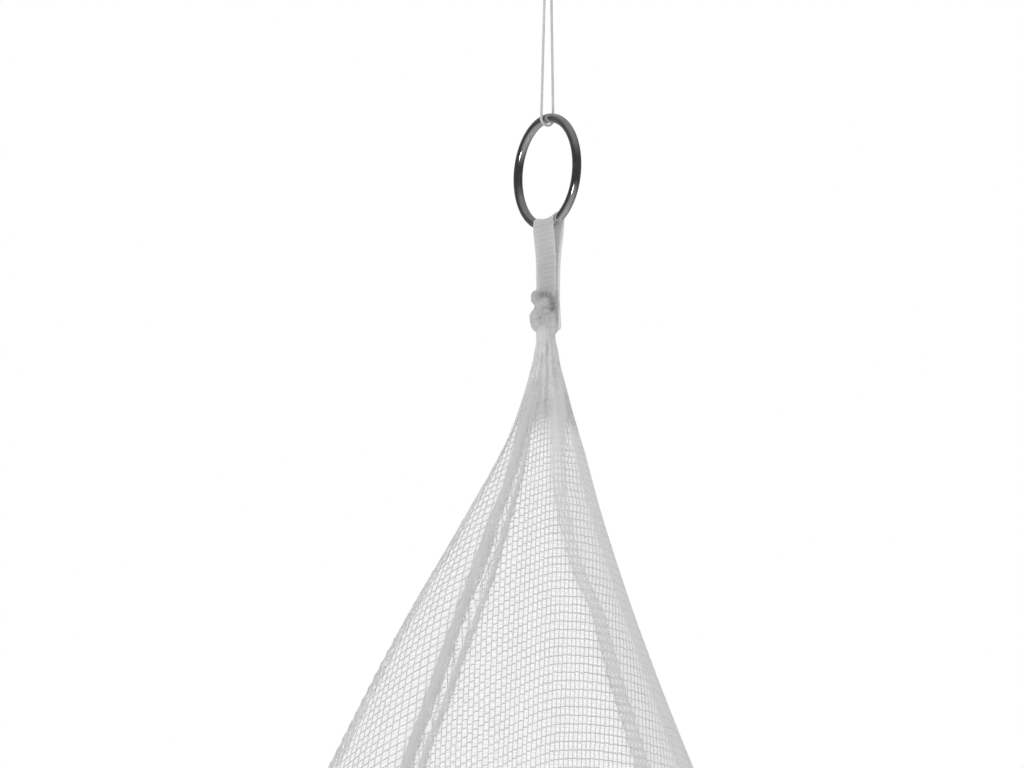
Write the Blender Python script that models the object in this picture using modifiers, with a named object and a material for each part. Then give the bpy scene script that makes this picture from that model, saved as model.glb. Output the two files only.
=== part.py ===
"""Mosquito net canopy: a cord eye and loop, a steel ring, a doubled tape tab and a net knotted at its centre.

Metres, +Z up, the viewer of the photograph looks along +Y. The origin is where a ceiling hook bears
inside the cord's eye. Angles round the net are 0 at the front (-Y) and grow towards +X.
"""
import math

import bmesh
import bpy
import numpy as np
from mathutils import Matrix, Vector

MM = 0.001
TURN = 2 * math.pi

# Cord: a doubled line with a knot and a small eye above it
CORD_R = 0.35 * MM
CORD_STEP = 4.2 * CORD_R
EYE_HALF_WIDTH = 3.4 * MM
EYE_SIDE_POWER = 0.5
EYE_RISE_POWER = 0.8
KNOT_TOP = -19.2 * MM
KNOT_HEIGHT = 4.2 * MM
KNOT_R = 1.25 * MM
KNOT_COILS = 3
KNOT_GROOVE = 0.14
KNOT_SEGMENTS = 24
KNOT_ROWS = 16
LEG_SPREAD_AT_KNOT = 0.42 * MM

# Ring: upright, turned so that its right side is nearer to the viewer
RING_R = 14.05 * MM
WIRE_R = 1.19 * MM
RING_SEGMENTS = 72
WIRE_SEGMENTS = 14
RING_TURN = math.radians(57.3)
RING_DROP = 97 * MM
RING_SHIFT = 0.45 * MM
GAP = 0.3 * MM

# Tab: tape doubled over the ring's lowest arc
TAPE_W = 10 * MM
TAPE_T = 1.0 * MM
TAPE_FRONT_END = -31.0 * MM
TAPE_TAIL_END = -41.6 * MM
TAPE_LEGS_HALF = 0.66 * MM
TAPE_CLEARANCE = 0.35 * MM
TAPE_LEG_ROWS = 9
TAPE_BEND_ROWS = 13
TAIL_FROM = 2.7 * MM
TAIL_ROWS = 5
TAIL_ROUNDING = 0.5 * MM

# Net: depths are below its neck, where the gathered cloth leaves its knot
NECK_DROP = 42.8 * MM
NET_DEPTH = 2.2
HEM_DEPTH = 25 * MM
FLUTES = 14
COLUMNS_A_FLUTE = 8
# depth, reach to the left, reach to the right (mm), share taken by the flutes, calm of the front
STATIONS = (
    (0.000, 3.1, 2.6, 0.06, 0.0),
    (0.010, 4.6, 4.2, 0.08, 0.2),
    (0.018, 6.9, 6.0, 0.09, 0.5),
    (0.030, 11.8, 9.2, 0.10, 0.8),
    (0.050, 22.6, 14.9, 0.11, 1.0),
    (0.076, 37.5, 23.3, 0.11, 1.0),
    (0.113, 56.3, 37.4, 0.11, 1.0),
    (0.200, 100, 76, 0.12, 0.85),
    (0.400, 190, 168, 0.15, 0.45),
    (0.800, 338, 326, 0.19, 0.12),
    (1.300, 492, 488, 0.22, 0.0),
    (1.800, 616, 618, 0.245, 0.0),
    (2.200, 704, 708, 0.26, 0.0),
)
# pleats that stand up from the net: azimuth (deg), half width, height (mm), depth where each fades out
PLEATS = (
    (-34, 2.6, 5.0, 0.70),
    (-25, 1.8, 4.0, 0.50),
    (47, 2.4, 4.5, 0.70),
    (75, 2.6, 4.0, 0.70),
)
PLEAT_START = 0.010
PLEAT_FULL = 0.050
PLEAT_WIDENS_AT = 0.15
PLEAT_FULL_REACH = 20 * MM
PLEAT_LEAST = 0.25
PLEAT_COLUMN_REACH = 60 * MM
# side fold that gives the left edge of the net its crisp outline: azimuth, spread (deg), share of the reach
SIDE_FOLD = (-86, 16, 0.10)
# how far round the net the hollow beside that fold goes, in deg
SIDE_FOLD_REACH = 55
FOLD_ROUNDING = 0.1
# where the calm front gives way to the flutes behind: azimuth of its middle, half its width, softness (deg)
CALM_FRONT = (-10, 122, 6)
# waves that make the flutes uneven round the net: share, cycles a turn, phase
FLUTE_WANDER = ((0.9, 2, 0.7), (0.7, 3, 2.1))
FLUTE_UNEVEN = ((0.22, 3, 1.0), (0.15, 5, 0.3))
# depths of the rings of faces
OUTER_DEPTHS = (0, 0.008, 0.018, 0.032, 0.05, 0.076, 0.113, 0.155, 0.21, 0.29, 0.4, 0.56, 0.8, 1.05,
                1.3, 1.58, 1.88, NET_DEPTH - HEM_DEPTH)
INNER_DEPTHS = (0.018, 0.032, 0.05, 0.076, 0.113, 0.155, 0.21, 0.29, 0.4, 0.56, 0.8, 1.05,
                1.3, 1.58, 1.88, NET_DEPTH - HEM_DEPTH)
INNER_POLE = 0.011
SHEET_TOP = 1.3 * MM
SHEET_HEM = 2.3 * MM
SHEET_FULL_AT = 0.8
HEM_EXTRA = 0.5 * MM
# the net's own knot: height below the ring's centre, left, right, near and far reach (mm)
NET_KNOT = (
    (-31.5, -3.7, 0.8, -1.6, 1.9),
    (-32.2, -4.3, 1.5, -2.3, 2.6),
    (-33.4, -4.4, 1.8, -2.6, 3.0),
    (-34.6, -3.6, 1.8, -2.5, 3.1),
    (-35.7, -4.3, 1.8, -2.8, 3.2),
    (-37.2, -4.76, 1.9, -3.0, 3.3),
    (-39.2, -4.5, 1.95, -2.9, 3.1),
    (-41.2, -3.9, 2.1, -2.7, 2.8),
)
NET_KNOT_TOP = (-1.6, 0.1, -31.35)

# Ways along and across the ring, seen from above
ALONG = Vector((math.cos(RING_TURN), -math.sin(RING_TURN), 0))
ACROSS = Vector((-math.sin(RING_TURN), -math.cos(RING_TURN), 0))
RING_CENTRE = ACROSS * RING_SHIFT + Vector((0, 0, -RING_DROP))


def clear_scene():
    for old in list(bpy.data.objects):
        bpy.data.objects.remove(old, do_unlink=True)


def material(name, colour, roughness, metallic=0.0):
    made = bpy.data.materials.new(name)
    made.use_nodes = True
    shader = made.node_tree.nodes["Principled BSDF"]
    shader.inputs["Base Color"].default_value = (*colour, 1)
    shader.inputs["Roughness"].default_value = roughness
    shader.inputs["Metallic"].default_value = metallic
    return made


def place(data, name, collection, made_of):
    data.materials.append(made_of)
    thing = bpy.data.objects.new(name, data)
    collection.objects.link(thing)
    return thing


def mesh_from(name, points, faces):
    data = bpy.data.meshes.new(name)
    data.from_pydata([tuple(p) for p in points], [], faces)
    shape = bmesh.new()
    shape.from_mesh(data)
    bmesh.ops.recalc_face_normals(shape, faces=shape.faces)
    shape.to_mesh(data)
    shape.free()
    data.shade_smooth()
    return data


def at_ring(along, across, up):
    """A point given from the ring's centre, along and across the ring and up."""
    return RING_CENTRE + ALONG * along + ACROSS * across + Vector((0, 0, up))


def even_points(route, step):
    """The route's own corners passed over at even steps."""
    route = np.array([tuple(p) for p in route])
    reach = np.concatenate([[0], np.cumsum(np.linalg.norm(np.diff(route, axis=0), axis=1))])
    count = max(2, round(reach[-1] / step) + 1)
    stops = np.linspace(0, reach[-1], count)
    return np.stack([np.interp(stops, reach, route[:, k]) for k in range(3)], axis=1)


def tube(name, points, collection, made_of):
    data = bpy.data.curves.new(name, "CURVE")
    data.dimensions = "3D"
    data.bevel_depth = CORD_R
    data.bevel_resolution = 2
    data.use_fill_caps = True
    line = data.splines.new("POLY")
    line.points.add(len(points) - 1)
    for point, where in zip(line.points, points):
        point.co = (*where, 1)
    line.use_smooth = True
    return place(data, name, collection, made_of)


def hanging_eye(collection, made_of):
    """A drop-shaped loop whose inside top is the origin."""
    foot = KNOT_TOP + GAP
    top = CORD_R
    route = []
    for t in np.linspace(0, 1, 121):
        arch = math.sin(math.pi * t)
        side = EYE_HALF_WIDTH * math.sin(TURN * t) * max(0.0, arch) ** EYE_SIDE_POWER
        rise = foot + (top - foot) * max(0.0, arch) ** EYE_RISE_POWER
        spread = LEG_SPREAD_AT_KNOT * (1 - 2 * t) * (1 - arch)
        route.append(ACROSS * (side + spread) + Vector((0, 0, rise)))
    return tube("hanging_eye", even_points(route, CORD_STEP), collection, made_of)


def cord_knot(collection, made_of):
    """The tightened overhand knot: a small barrel with the cord's turns standing out of it."""
    shape = bmesh.new()
    bmesh.ops.create_uvsphere(shape, u_segments=KNOT_SEGMENTS, v_segments=KNOT_ROWS, radius=1)
    for corner in shape.verts:
        x, y, z = corner.co
        angle = math.atan2(y, x)
        ridge = math.cos(angle + TURN * KNOT_COILS * z / 2)
        girth = KNOT_R * (1 + KNOT_GROOVE * ridge * math.sqrt(max(0.0, 1 - z * z)))
        corner.co = (x * girth, y * girth, KNOT_TOP + KNOT_HEIGHT * (z - 1) / 2)
    data = bpy.data.meshes.new("cord_knot")
    shape.to_mesh(data)
    shape.free()
    data.shade_smooth()
    return place(data, "cord_knot", collection, made_of)


def cord_loop(collection, made_of):
    """Down in front of the ring's top wire, under it and up behind."""
    bend = WIRE_R + GAP + CORD_R
    foot = KNOT_TOP - KNOT_HEIGHT - GAP
    start = ACROSS * LEG_SPREAD_AT_KNOT + Vector((0, 0, foot))
    end = ACROSS * -LEG_SPREAD_AT_KNOT + Vector((0, 0, foot))
    under = []
    for angle in np.linspace(0, math.pi, 25):
        under.append(at_ring(0, bend * math.cos(angle), RING_R - bend * math.sin(angle)))
    return tube("cord_loop", even_points([start] + under + [end], CORD_STEP), collection, made_of)


def ring(collection, made_of):
    bpy.ops.mesh.primitive_torus_add(major_segments=RING_SEGMENTS, minor_segments=WIRE_SEGMENTS,
                                     major_radius=RING_R, minor_radius=WIRE_R)
    thing = bpy.context.object
    turned = Matrix((ALONG, Vector((0, 0, 1)), ACROSS)).transposed()
    thing.data.transform(Matrix.Translation(RING_CENTRE) @ turned.to_4x4())
    thing.data.update()
    thing.data.shade_smooth()
    thing.name = "ring"
    for holder in thing.users_collection:
        holder.objects.unlink(thing)
    collection.objects.link(thing)
    thing.data.materials.append(made_of)
    return thing


def tape_profile(along):
    """The tape's middle line at one place along the ring: front leg up, over the wire, back leg down."""
    bend = WIRE_R + TAPE_CLEARANCE + TAPE_T / 2
    centre = -math.sqrt(RING_R ** 2 - along ** 2)
    leg = []
    for t in np.linspace(0, 1, TAPE_LEG_ROWS):
        across = TAPE_LEGS_HALF + (bend - TAPE_LEGS_HALF) * eased(t, 0, 1)
        leg.append((across, TAPE_FRONT_END + (centre - TAPE_FRONT_END) * t))
    over = []
    for angle in np.linspace(0, math.pi, TAPE_BEND_ROWS)[1:-1]:
        over.append((bend * math.cos(angle), centre + bend * math.sin(angle)))
    return leg + over + [(-across, up) for across, up in reversed(leg)]


def tab(collection, made_of):
    """The doubled tape as one bent sheet, with the end of its back leg running on beside the knot."""
    half = TAPE_W / 2
    tail_middle = (TAIL_FROM + half) / 2
    places = [half * share for share in (-1, -0.75, -0.5, -0.25, 0, 0.25)] + [TAIL_FROM, tail_middle, half]
    tail_first = places.index(TAIL_FROM)
    points = []
    faces = []
    number = {}
    for column, along in enumerate(places):
        for row, (across, up) in enumerate(tape_profile(along)):
            number[column, row] = len(points)
            points.append(at_ring(along, across, up))
    last = len(tape_profile(0)) - 1
    for column in range(tail_first, len(places)):
        off_middle = (places[column] - tail_middle) / (half - tail_middle)
        end = TAPE_TAIL_END + TAIL_ROUNDING * off_middle ** 2
        for step in range(1, TAIL_ROWS + 1):
            up = TAPE_FRONT_END + (end - TAPE_FRONT_END) * step / TAIL_ROWS
            number[column, last + step] = len(points)
            points.append(at_ring(places[column], -TAPE_LEGS_HALF, up))
    for column in range(len(places) - 1):
        rows = last + (TAIL_ROWS if column >= tail_first else 0)
        for row in range(rows):
            corners = (number[column, row], number[column + 1, row],
                       number[column + 1, row + 1], number[column, row + 1])
            faces.append(corners)
    thing = place(mesh_from("tab", points, faces), "tab", collection, made_of)
    thick = thing.modifiers.new("thickness", "SOLIDIFY")
    thick.thickness = TAPE_T
    thick.offset = 0
    return thing


def eased(value, start, end):
    t = min(1.0, max(0.0, (value - start) / (end - start)))
    return t * t * (3 - 2 * t)


def station(depth):
    """The stations' columns read at a depth, through a line that never overshoots them."""
    table = np.array(STATIONS, float)
    table[:, 1:3] *= MM
    depths = table[:, 0]
    depth = min(max(depth, depths[0]), depths[-1])
    k = min(int(np.searchsorted(depths, depth, side="right")) - 1, len(depths) - 2)
    step = np.diff(depths)
    slope = np.diff(table[:, 1:], axis=0) / step[:, None]
    bend = np.zeros_like(table[:, 1:])
    bend[0], bend[-1] = slope[0], slope[-1]
    same = slope[:-1] * slope[1:] > 0
    safe = np.where(same, slope[:-1] + slope[1:], 1)
    bend[1:-1] = np.where(same, 2 * slope[:-1] * slope[1:] / safe, 0)
    t = (depth - depths[k]) / step[k]
    low, high = table[k, 1:], table[k + 1, 1:]
    return ((1 + 2 * t) * (1 - t) ** 2 * low + t * (1 - t) ** 2 * step[k] * bend[k]
            + t * t * (3 - 2 * t) * high + t * t * (t - 1) * step[k] * bend[k + 1])


def waves(azimuth, table):
    return sum(share * math.sin(cycles * azimuth + phase) for share, cycles, phase in table)


def flute_phase(azimuth):
    return FLUTES * azimuth + waves(azimuth, FLUTE_WANDER)


def wrapped(angle):
    return (angle + math.pi) % TURN - math.pi


def section_radius(azimuth, depth):
    """How far the net stands out from the middle of its section, and where that middle is."""
    left, right, share, calm = station(depth)
    reach = (left + right) / 2
    side_at, side_spread, side_share = SIDE_FOLD
    off_side = abs(math.degrees(wrapped(azimuth - math.radians(side_at))))
    ridge = math.exp(FOLD_ROUNDING - math.hypot(off_side / side_spread, FOLD_ROUNDING))
    hollow = (1 - ridge) * math.exp(-(off_side / SIDE_FOLD_REACH) ** 2)
    body = 1 - side_share * calm * hollow
    uneven = 1 + waves(azimuth, FLUTE_UNEVEN)
    front_at, front_half, front_soft = CALM_FRONT
    off_front = abs(math.degrees(wrapped(azimuth - math.radians(front_at))))
    behind = 1 / (1 + math.exp(-(off_front - front_half) / front_soft))
    depth_of_flute = share * uneven * (1 - calm * (1 - behind))
    radius = reach * (body - depth_of_flute * (0.5 - 0.5 * math.cos(flute_phase(azimuth))))
    for at, half_width, height, fades in PLEATS:
        grow = max(1.0, depth / PLEAT_WIDENS_AT)
        width = half_width * MM * grow * min(1.0, max(PLEAT_LEAST, reach / PLEAT_FULL_REACH))
        up = eased(depth, PLEAT_START, PLEAT_FULL) * (1 - eased(depth, PLEAT_WIDENS_AT, fades))
        away = wrapped(azimuth - math.radians(at)) * reach / width
        radius += height * MM * grow * up * math.exp(-away * away)
    return radius, (right - left) / 2


def sheet_thickness(depth):
    return SHEET_TOP + (SHEET_HEM - SHEET_TOP) * min(1.0, depth / SHEET_FULL_AT)


def columns():
    """Azimuths of the net's columns: even steps through every flute, and closer ones over each pleat."""
    fine = np.linspace(-math.pi, math.pi, 4001)
    phase = np.array([flute_phase(a) for a in fine])
    wanted = np.linspace(phase[0], phase[-1], FLUTES * COLUMNS_A_FLUTE + 1)[:-1]
    found = list(np.interp(wanted, phase, fine))
    for at, half_width, height, fades in PLEATS:
        spread = half_width * MM / PLEAT_COLUMN_REACH
        near = [math.radians(at) + spread * k for k in (-1.6, -0.8, 0, 0.8, 1.6)]
        found = [a for a in found if min(abs(wrapped(a - n)) for n in near) > 0.35 * spread]
        found += near
    return sorted(found)


def net_ring(depth, azimuths, inwards):
    neck = RING_CENTRE + Vector((0, 0, -NECK_DROP))
    points = []
    for azimuth in azimuths:
        radius, middle = section_radius(azimuth, depth)
        radius -= inwards
        out = Vector((radius * math.sin(azimuth), -radius * math.cos(azimuth), -depth))
        points.append(neck + Vector((middle, 0, 0)) + out)
    return points


def knot_ring(row, azimuths):
    up, left, right, near, far = (value * MM for value in row)
    middle = Vector(((left + right) / 2, (near + far) / 2, up))
    wide = (right - left) / 2
    deep = (far - near) / 2
    return [RING_CENTRE + middle + Vector((wide * math.sin(a), -deep * math.cos(a), 0)) for a in azimuths]


def net(collection, made_of):
    """One closed sheet: its knot, down the outside, round the hem and up the inside."""
    azimuths = columns()
    rings = [knot_ring(row, azimuths) for row in NET_KNOT]
    rings += [net_ring(depth, azimuths, 0) for depth in OUTER_DEPTHS]
    rings += [net_ring(NET_DEPTH - HEM_DEPTH + 1 * MM, azimuths, -HEM_EXTRA)]
    rings += [net_ring(NET_DEPTH, azimuths, -HEM_EXTRA)]
    rings += [net_ring(NET_DEPTH, azimuths, SHEET_HEM)]
    rings += [net_ring(depth, azimuths, sheet_thickness(depth)) for depth in reversed(INNER_DEPTHS)]
    points = [RING_CENTRE + Vector(NET_KNOT_TOP) * MM]
    for made in rings:
        points += made
    left, right, _, _ = station(INNER_POLE)
    points.append(RING_CENTRE + Vector(((right - left) / 2, 0, -NECK_DROP - INNER_POLE)))
    count = len(azimuths)
    pole = len(points) - 1
    last = pole - count
    faces = []
    for k in range(count):
        after = (k + 1) % count
        faces.append((0, 1 + k, 1 + after))
        faces.append((pole, last + after, last + k))
        for row in range(len(rings) - 1):
            a = 1 + row * count
            faces.append((a + k, a + count + k, a + count + after, a + after))
    return place(mesh_from("net", points, faces), "net", collection, made_of)


def main():
    clear_scene()
    canopy = bpy.data.collections.new("Mosquito net canopy")
    bpy.context.scene.collection.children.link(canopy)
    cord = material("cord", (0.86, 0.86, 0.84), 0.7)
    steel = material("plated steel", (0.72, 0.73, 0.75), 0.12, 1.0)
    tape = material("ribbed tape", (0.84, 0.84, 0.83), 0.85)
    mesh_cloth = material("net cloth", (0.9, 0.9, 0.9), 0.8)
    hanging_eye(canopy, cord)
    cord_knot(canopy, cord)
    cord_loop(canopy, cord)
    ring(canopy, steel)
    tab(canopy, tape)
    net(canopy, mesh_cloth)


main()
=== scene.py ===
# %% [markdown]
# # A hanging bed net, from its cord to its hem
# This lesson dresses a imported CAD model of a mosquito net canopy. The real thing is half a disc of open
# mesh cloth, gathered into a knot, and hung by a doubled tape from a small chromed ring on a thin cord.
# The CAD solids stay where they are. Each soft solid is replaced here by a finer piece of the same form.

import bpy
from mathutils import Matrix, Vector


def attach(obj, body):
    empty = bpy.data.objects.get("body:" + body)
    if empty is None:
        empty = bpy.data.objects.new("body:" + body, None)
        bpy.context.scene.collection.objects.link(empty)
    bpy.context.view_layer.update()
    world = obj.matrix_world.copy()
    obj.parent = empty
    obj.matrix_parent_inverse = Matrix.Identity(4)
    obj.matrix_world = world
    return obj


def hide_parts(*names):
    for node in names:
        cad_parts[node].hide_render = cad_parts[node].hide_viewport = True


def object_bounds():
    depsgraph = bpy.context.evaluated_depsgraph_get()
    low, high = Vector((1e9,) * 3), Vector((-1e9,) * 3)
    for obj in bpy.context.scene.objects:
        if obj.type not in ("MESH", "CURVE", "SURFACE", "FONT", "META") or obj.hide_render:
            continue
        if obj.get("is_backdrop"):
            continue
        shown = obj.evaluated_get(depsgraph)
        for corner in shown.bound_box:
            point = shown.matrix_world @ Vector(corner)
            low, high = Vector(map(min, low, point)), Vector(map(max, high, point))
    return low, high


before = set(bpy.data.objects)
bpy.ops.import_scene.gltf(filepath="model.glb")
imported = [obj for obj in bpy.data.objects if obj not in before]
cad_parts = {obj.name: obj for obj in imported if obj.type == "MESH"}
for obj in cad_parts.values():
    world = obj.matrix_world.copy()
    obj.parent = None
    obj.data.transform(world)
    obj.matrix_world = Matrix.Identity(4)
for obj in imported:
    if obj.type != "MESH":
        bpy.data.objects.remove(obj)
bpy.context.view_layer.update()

# %% Tools for the whole lesson
import math

import bmesh
import bpy
import numpy as np
from mathutils import Matrix, Vector

MM = 0.001
TURN = 2 * math.pi


def unit(rows):
    """The rows of a table, each brought to length 1."""
    return rows / np.linalg.norm(rows, axis=1)[:, None]


def walked_along(points):
    """How far along a line each of its points lies."""
    return np.concatenate([[0], np.cumsum(np.linalg.norm(np.diff(points, axis=0), axis=1))])


def eased(value):
    """A value from 0 to 1 with soft ends."""
    value = np.clip(value, 0, 1)
    return value * value * (3 - 2 * value)


def past(value, start, over):
    """0 before a start, 1 once a value is some way over it, and softly between."""
    return eased((value - start) / over)

# %% [markdown]
# ## The camera
# The photograph is a close view of the top of the net: a long lens, a little below the ring and tilted
# up at it. The camera is placed from the ring, because the ring's true size sets the scale of the view.

# %% Camera
RING_TURN = math.radians(57.3)
ALONG = Vector((math.cos(RING_TURN), -math.sin(RING_TURN), 0))
ACROSS = Vector((-math.sin(RING_TURN), -math.cos(RING_TURN), 0))
RING_CENTRE = ACROSS * 0.45 * MM + Vector((0, 0, -97 * MM))
CAMERA_PITCH = math.radians(8.8)
CAMERA_DISTANCE = 2.4
VIEW_WIDTH = 0.265
SENSOR = 36
AIM_FROM_RING = Vector((-9.16, 0, -55.75)) * MM
aim = RING_CENTRE + AIM_FROM_RING
forward = Vector((0, math.cos(CAMERA_PITCH), math.sin(CAMERA_PITCH)))

lens = bpy.data.cameras.new("portrait lens")
lens.sensor_width = SENSOR
lens.lens = SENSOR * CAMERA_DISTANCE / VIEW_WIDTH
lens.clip_end = 30
camera = bpy.data.objects.new("camera", lens)
camera.location = aim - forward * CAMERA_DISTANCE
camera.rotation_euler = (math.radians(90) + CAMERA_PITCH, 0, 0)
bpy.context.scene.collection.objects.link(camera)
bpy.context.scene.camera = camera
print("lens:", round(lens.lens), "mm")

# %% [markdown]
# ## Meshes from tables of numbers
# Twisted cord, ribbed tape and thousands of net threads are all grids of points that some formula gives.
# Writing the corners straight into a mesh is far quicker than adding them one at a time, so two helpers
# do it: one for any list of four-cornered faces, and one that counts out the faces of a grid of points. Two
# more store numbers at the corners, such as a point's place on the flat cloth, for a finish to read.


# %% Helpers that write meshes
def piece_from(name, corners, quads, finish, slot, smooth=True):
    """A mesh piece that rides on the only body of the model."""
    data = bpy.data.meshes.new(name)
    data.vertices.add(len(corners))
    data.vertices.foreach_set("co", np.asarray(corners, np.float32).ravel())
    data.loops.add(quads.size)
    data.loops.foreach_set("vertex_index", quads.ravel().astype(np.int32))
    data.polygons.add(len(quads))
    data.polygons.foreach_set("loop_start", np.arange(len(quads), dtype=np.int32) * quads.shape[1])
    data.polygons.foreach_set("use_smooth", np.full(len(quads), smooth))
    data.update(calc_edges=True)
    data.validate()
    data.materials.append(finish)
    piece = bpy.data.objects.new(name, data)
    bpy.context.scene.collection.objects.link(piece)
    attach(piece, "root")
    print(name, "has", len(data.polygons), "faces")
    return piece


def grid_quads(rows, columns, closed=False, first=0):
    """The faces of a grid of points that are numbered row by row."""
    across = columns if closed else columns - 1
    row, column = np.meshgrid(np.arange(rows - 1), np.arange(across), indexing="ij")
    after = (column + 1) % columns
    a = first + row * columns + column
    b = first + row * columns + after
    return np.stack([a, b, b + columns, a + columns], -1).reshape(-1, 4)


# %% Helpers that store what a finish reads
def add_number(mesh, name, numbers):
    """Stores one number for each corner of a mesh."""
    held = mesh.attributes.new(name, "FLOAT", "POINT")
    held.data.foreach_set("value", np.asarray(numbers, np.float32).ravel())


def add_plan(piece, plan):
    """Stores each corner's place on the flat cloth, in metres."""
    held = piece.data.attributes.new("cloth_plan", "FLOAT_VECTOR", "POINT")
    held.data.foreach_set("vector", np.asarray(plan, np.float32).ravel())


# %% [markdown]
# ## Finishes
# Everything soft here is white polyester: its colour wanders a little, its fibres are fine, and it has no
# gloss. One node group gives that grain to every cloth and cord, each at its own scale. A second group
# turns a plan of the cloth, in metres, into the open cells of the net: it says where a thread is.


# %% Small helpers for shader nodes
def node_group(name, inputs, outputs):
    """An empty shader group with its sockets made, its input node and its output node."""
    tree = bpy.data.node_groups.new(name, "ShaderNodeTree")
    for label, kind, value in inputs:
        socket = tree.interface.new_socket(name=label, in_out="INPUT", socket_type=kind)
        if value is not None:
            socket.default_value = value
    for label, kind in outputs:
        tree.interface.new_socket(name=label, in_out="OUTPUT", socket_type=kind)
    return tree, tree.nodes.new("NodeGroupInput"), tree.nodes.new("NodeGroupOutput")


def add_node(tree, kind, feeds=(), **settings):
    """A new node with its settings. What feeds an input is linked if it is a socket, or else set."""
    node = tree.nodes.new(kind)
    for name, value in settings.items():
        setattr(node, name, value)
    for label, value in feeds:
        if isinstance(value, bpy.types.NodeSocket):
            tree.links.new(value, node.inputs[label])
        elif value is not None:
            node.inputs[label].default_value = value
    return node


def sum_node(tree, operation, a, b=None, c=None):
    """A Math node on sockets or numbers, and its result."""
    return add_node(tree, "ShaderNodeMath", enumerate((a, b, c)), operation=operation).outputs[0]


def ranged(tree, value, low, high, to_low, to_high):
    """A Map Range node with smooth ends."""
    feeds = (("Value", value), ("From Min", low), ("From Max", high), ("To Min", to_low), ("To Max", to_high))
    return add_node(tree, "ShaderNodeMapRange", feeds, interpolation_type="SMOOTHSTEP").outputs["Result"]


def mixed(tree, share, dark, light, blend="MIX"):
    """A colour between two, each a socket or four numbers."""
    feeds = (("Factor", share), (6, dark), (7, light))
    return add_node(tree, "ShaderNodeMix", feeds, data_type="RGBA", blend_type=blend).outputs[2]


# %% Helpers for what every finish needs
def new_finish(name):
    """A material, its node tree and its shader."""
    finish = bpy.data.materials.new(name)
    finish.use_nodes = True
    return finish, finish.node_tree, finish.node_tree.nodes["Principled BSDF"]


def stored(tree, name):
    """The node that reads what is stored under a name at the corners of a mesh."""
    return add_node(tree, "ShaderNodeAttribute", attribute_name=name)


def axes_of(tree, vector):
    """The X, Y and Z of a vector."""
    return add_node(tree, "ShaderNodeSeparateXYZ", ((0, vector),)).outputs


def noise(tree, vector, scale, detail=2):
    """The value of a Noise node."""
    feeds = (("Vector", vector), ("Scale", scale), ("Detail", detail))
    return add_node(tree, "ShaderNodeTexNoise", feeds).outputs["Fac"]


def object_place(tree):
    """Places on the object itself, which a pattern can follow."""
    return tree.nodes.new("ShaderNodeTexCoord").outputs["Object"]


def add_relief(tree, shader, height, distance):
    """Relief on a shader, from a height and how deep it goes."""
    relief = add_node(tree, "ShaderNodeBump", (("Distance", distance), ("Height", height)))
    tree.links.new(relief.outputs["Normal"], shader.inputs["Normal"])


# %% Node group: the grain of spun fibre
FLOAT = "NodeSocketFloat"
COLOUR = "NodeSocketColor"
VECTOR = "NodeSocketVector"
fibre, fibre_in, fibre_out = node_group(
    "fibre_grain",
    (("Fineness", FLOAT, 900),
     ("Light", COLOUR, (0.82, 0.82, 0.82, 1)),
     ("Dark", COLOUR, (0.7, 0.7, 0.7, 1))),
    (("Colour", COLOUR), ("Roughness", FLOAT), ("Height", FLOAT)),
)
fibre_place = object_place(fibre)
fineness = fibre_in.outputs["Fineness"]
fine = noise(fibre, fibre_place, fineness, detail=3)
broad = noise(fibre, fibre_place, sum_node(fibre, "MULTIPLY", fineness, 0.12))
tone = ranged(fibre, sum_node(fibre, "ADD", fine, broad), 0.7, 1.3, 0, 1)
fibre.links.new(mixed(fibre, tone, fibre_in.outputs["Dark"], fibre_in.outputs["Light"]), fibre_out.inputs[0])
fibre.links.new(ranged(fibre, fine, 0.3, 0.7, 0.55, 0.85), fibre_out.inputs[1])
fibre.links.new(fine, fibre_out.inputs[2])
print("made the group", fibre.name)

# %% Node group: the open cells of the net
cells, cells_in, cells_out = node_group(
    "net_cells",
    (("Plan", VECTOR, None), ("Cell width", FLOAT, 0.00125), ("Cell height", FLOAT, 0.0026),
     ("Stagger", FLOAT, 0.35), ("Thread", FLOAT, 0.0003), ("Wobble", FLOAT, 0.12)),
    (("Thread mask", FLOAT), ("Height", FLOAT)),
)
wander = noise(cells, cells_in.outputs["Plan"], 260)
flat = axes_of(cells, cells_in.outputs["Plan"])
cell_width, cell_height = cells_in.outputs["Cell width"], cells_in.outputs["Cell height"]
off = sum_node(cells, "MULTIPLY", sum_node(cells, "SUBTRACT", wander, 0.5), cells_in.outputs["Wobble"])
across_cells = sum_node(cells, "ADD", off, sum_node(cells, "DIVIDE", flat["X"], cell_width))
down_cells = sum_node(cells, "DIVIDE", flat["Y"], cell_height)
stairs = sum_node(cells, "MULTIPLY", sum_node(cells, "FLOOR", across_cells), cells_in.outputs["Stagger"])
stepped = sum_node(cells, "ADD", down_cells, stairs)


def thread_band(position, cell):
    """1 on a thread that runs along the whole numbers of position, 0 in the hole between two."""
    away = sum_node(cells, "PINGPONG", position, 0.5)
    distance = sum_node(cells, "MULTIPLY", away, cell)
    half_thread = sum_node(cells, "MULTIPLY", cells_in.outputs["Thread"], 0.5)
    return sum_node(cells, "LESS_THAN", distance, half_thread)


threads = sum_node(cells, "MAXIMUM", thread_band(stepped, cell_height), thread_band(across_cells, cell_width))
cells.links.new(threads, cells_out.inputs[0])
cells.links.new(sum_node(cells, "MULTIPLY", threads, wander), cells_out.inputs[1])
print("made the group", cells.name)


# %% Put a group to use
def placed(tree, group, feeds):
    """A node group put into a material and fed there."""
    return add_node(tree, "ShaderNodeGroup", feeds, node_tree=group)


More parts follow.
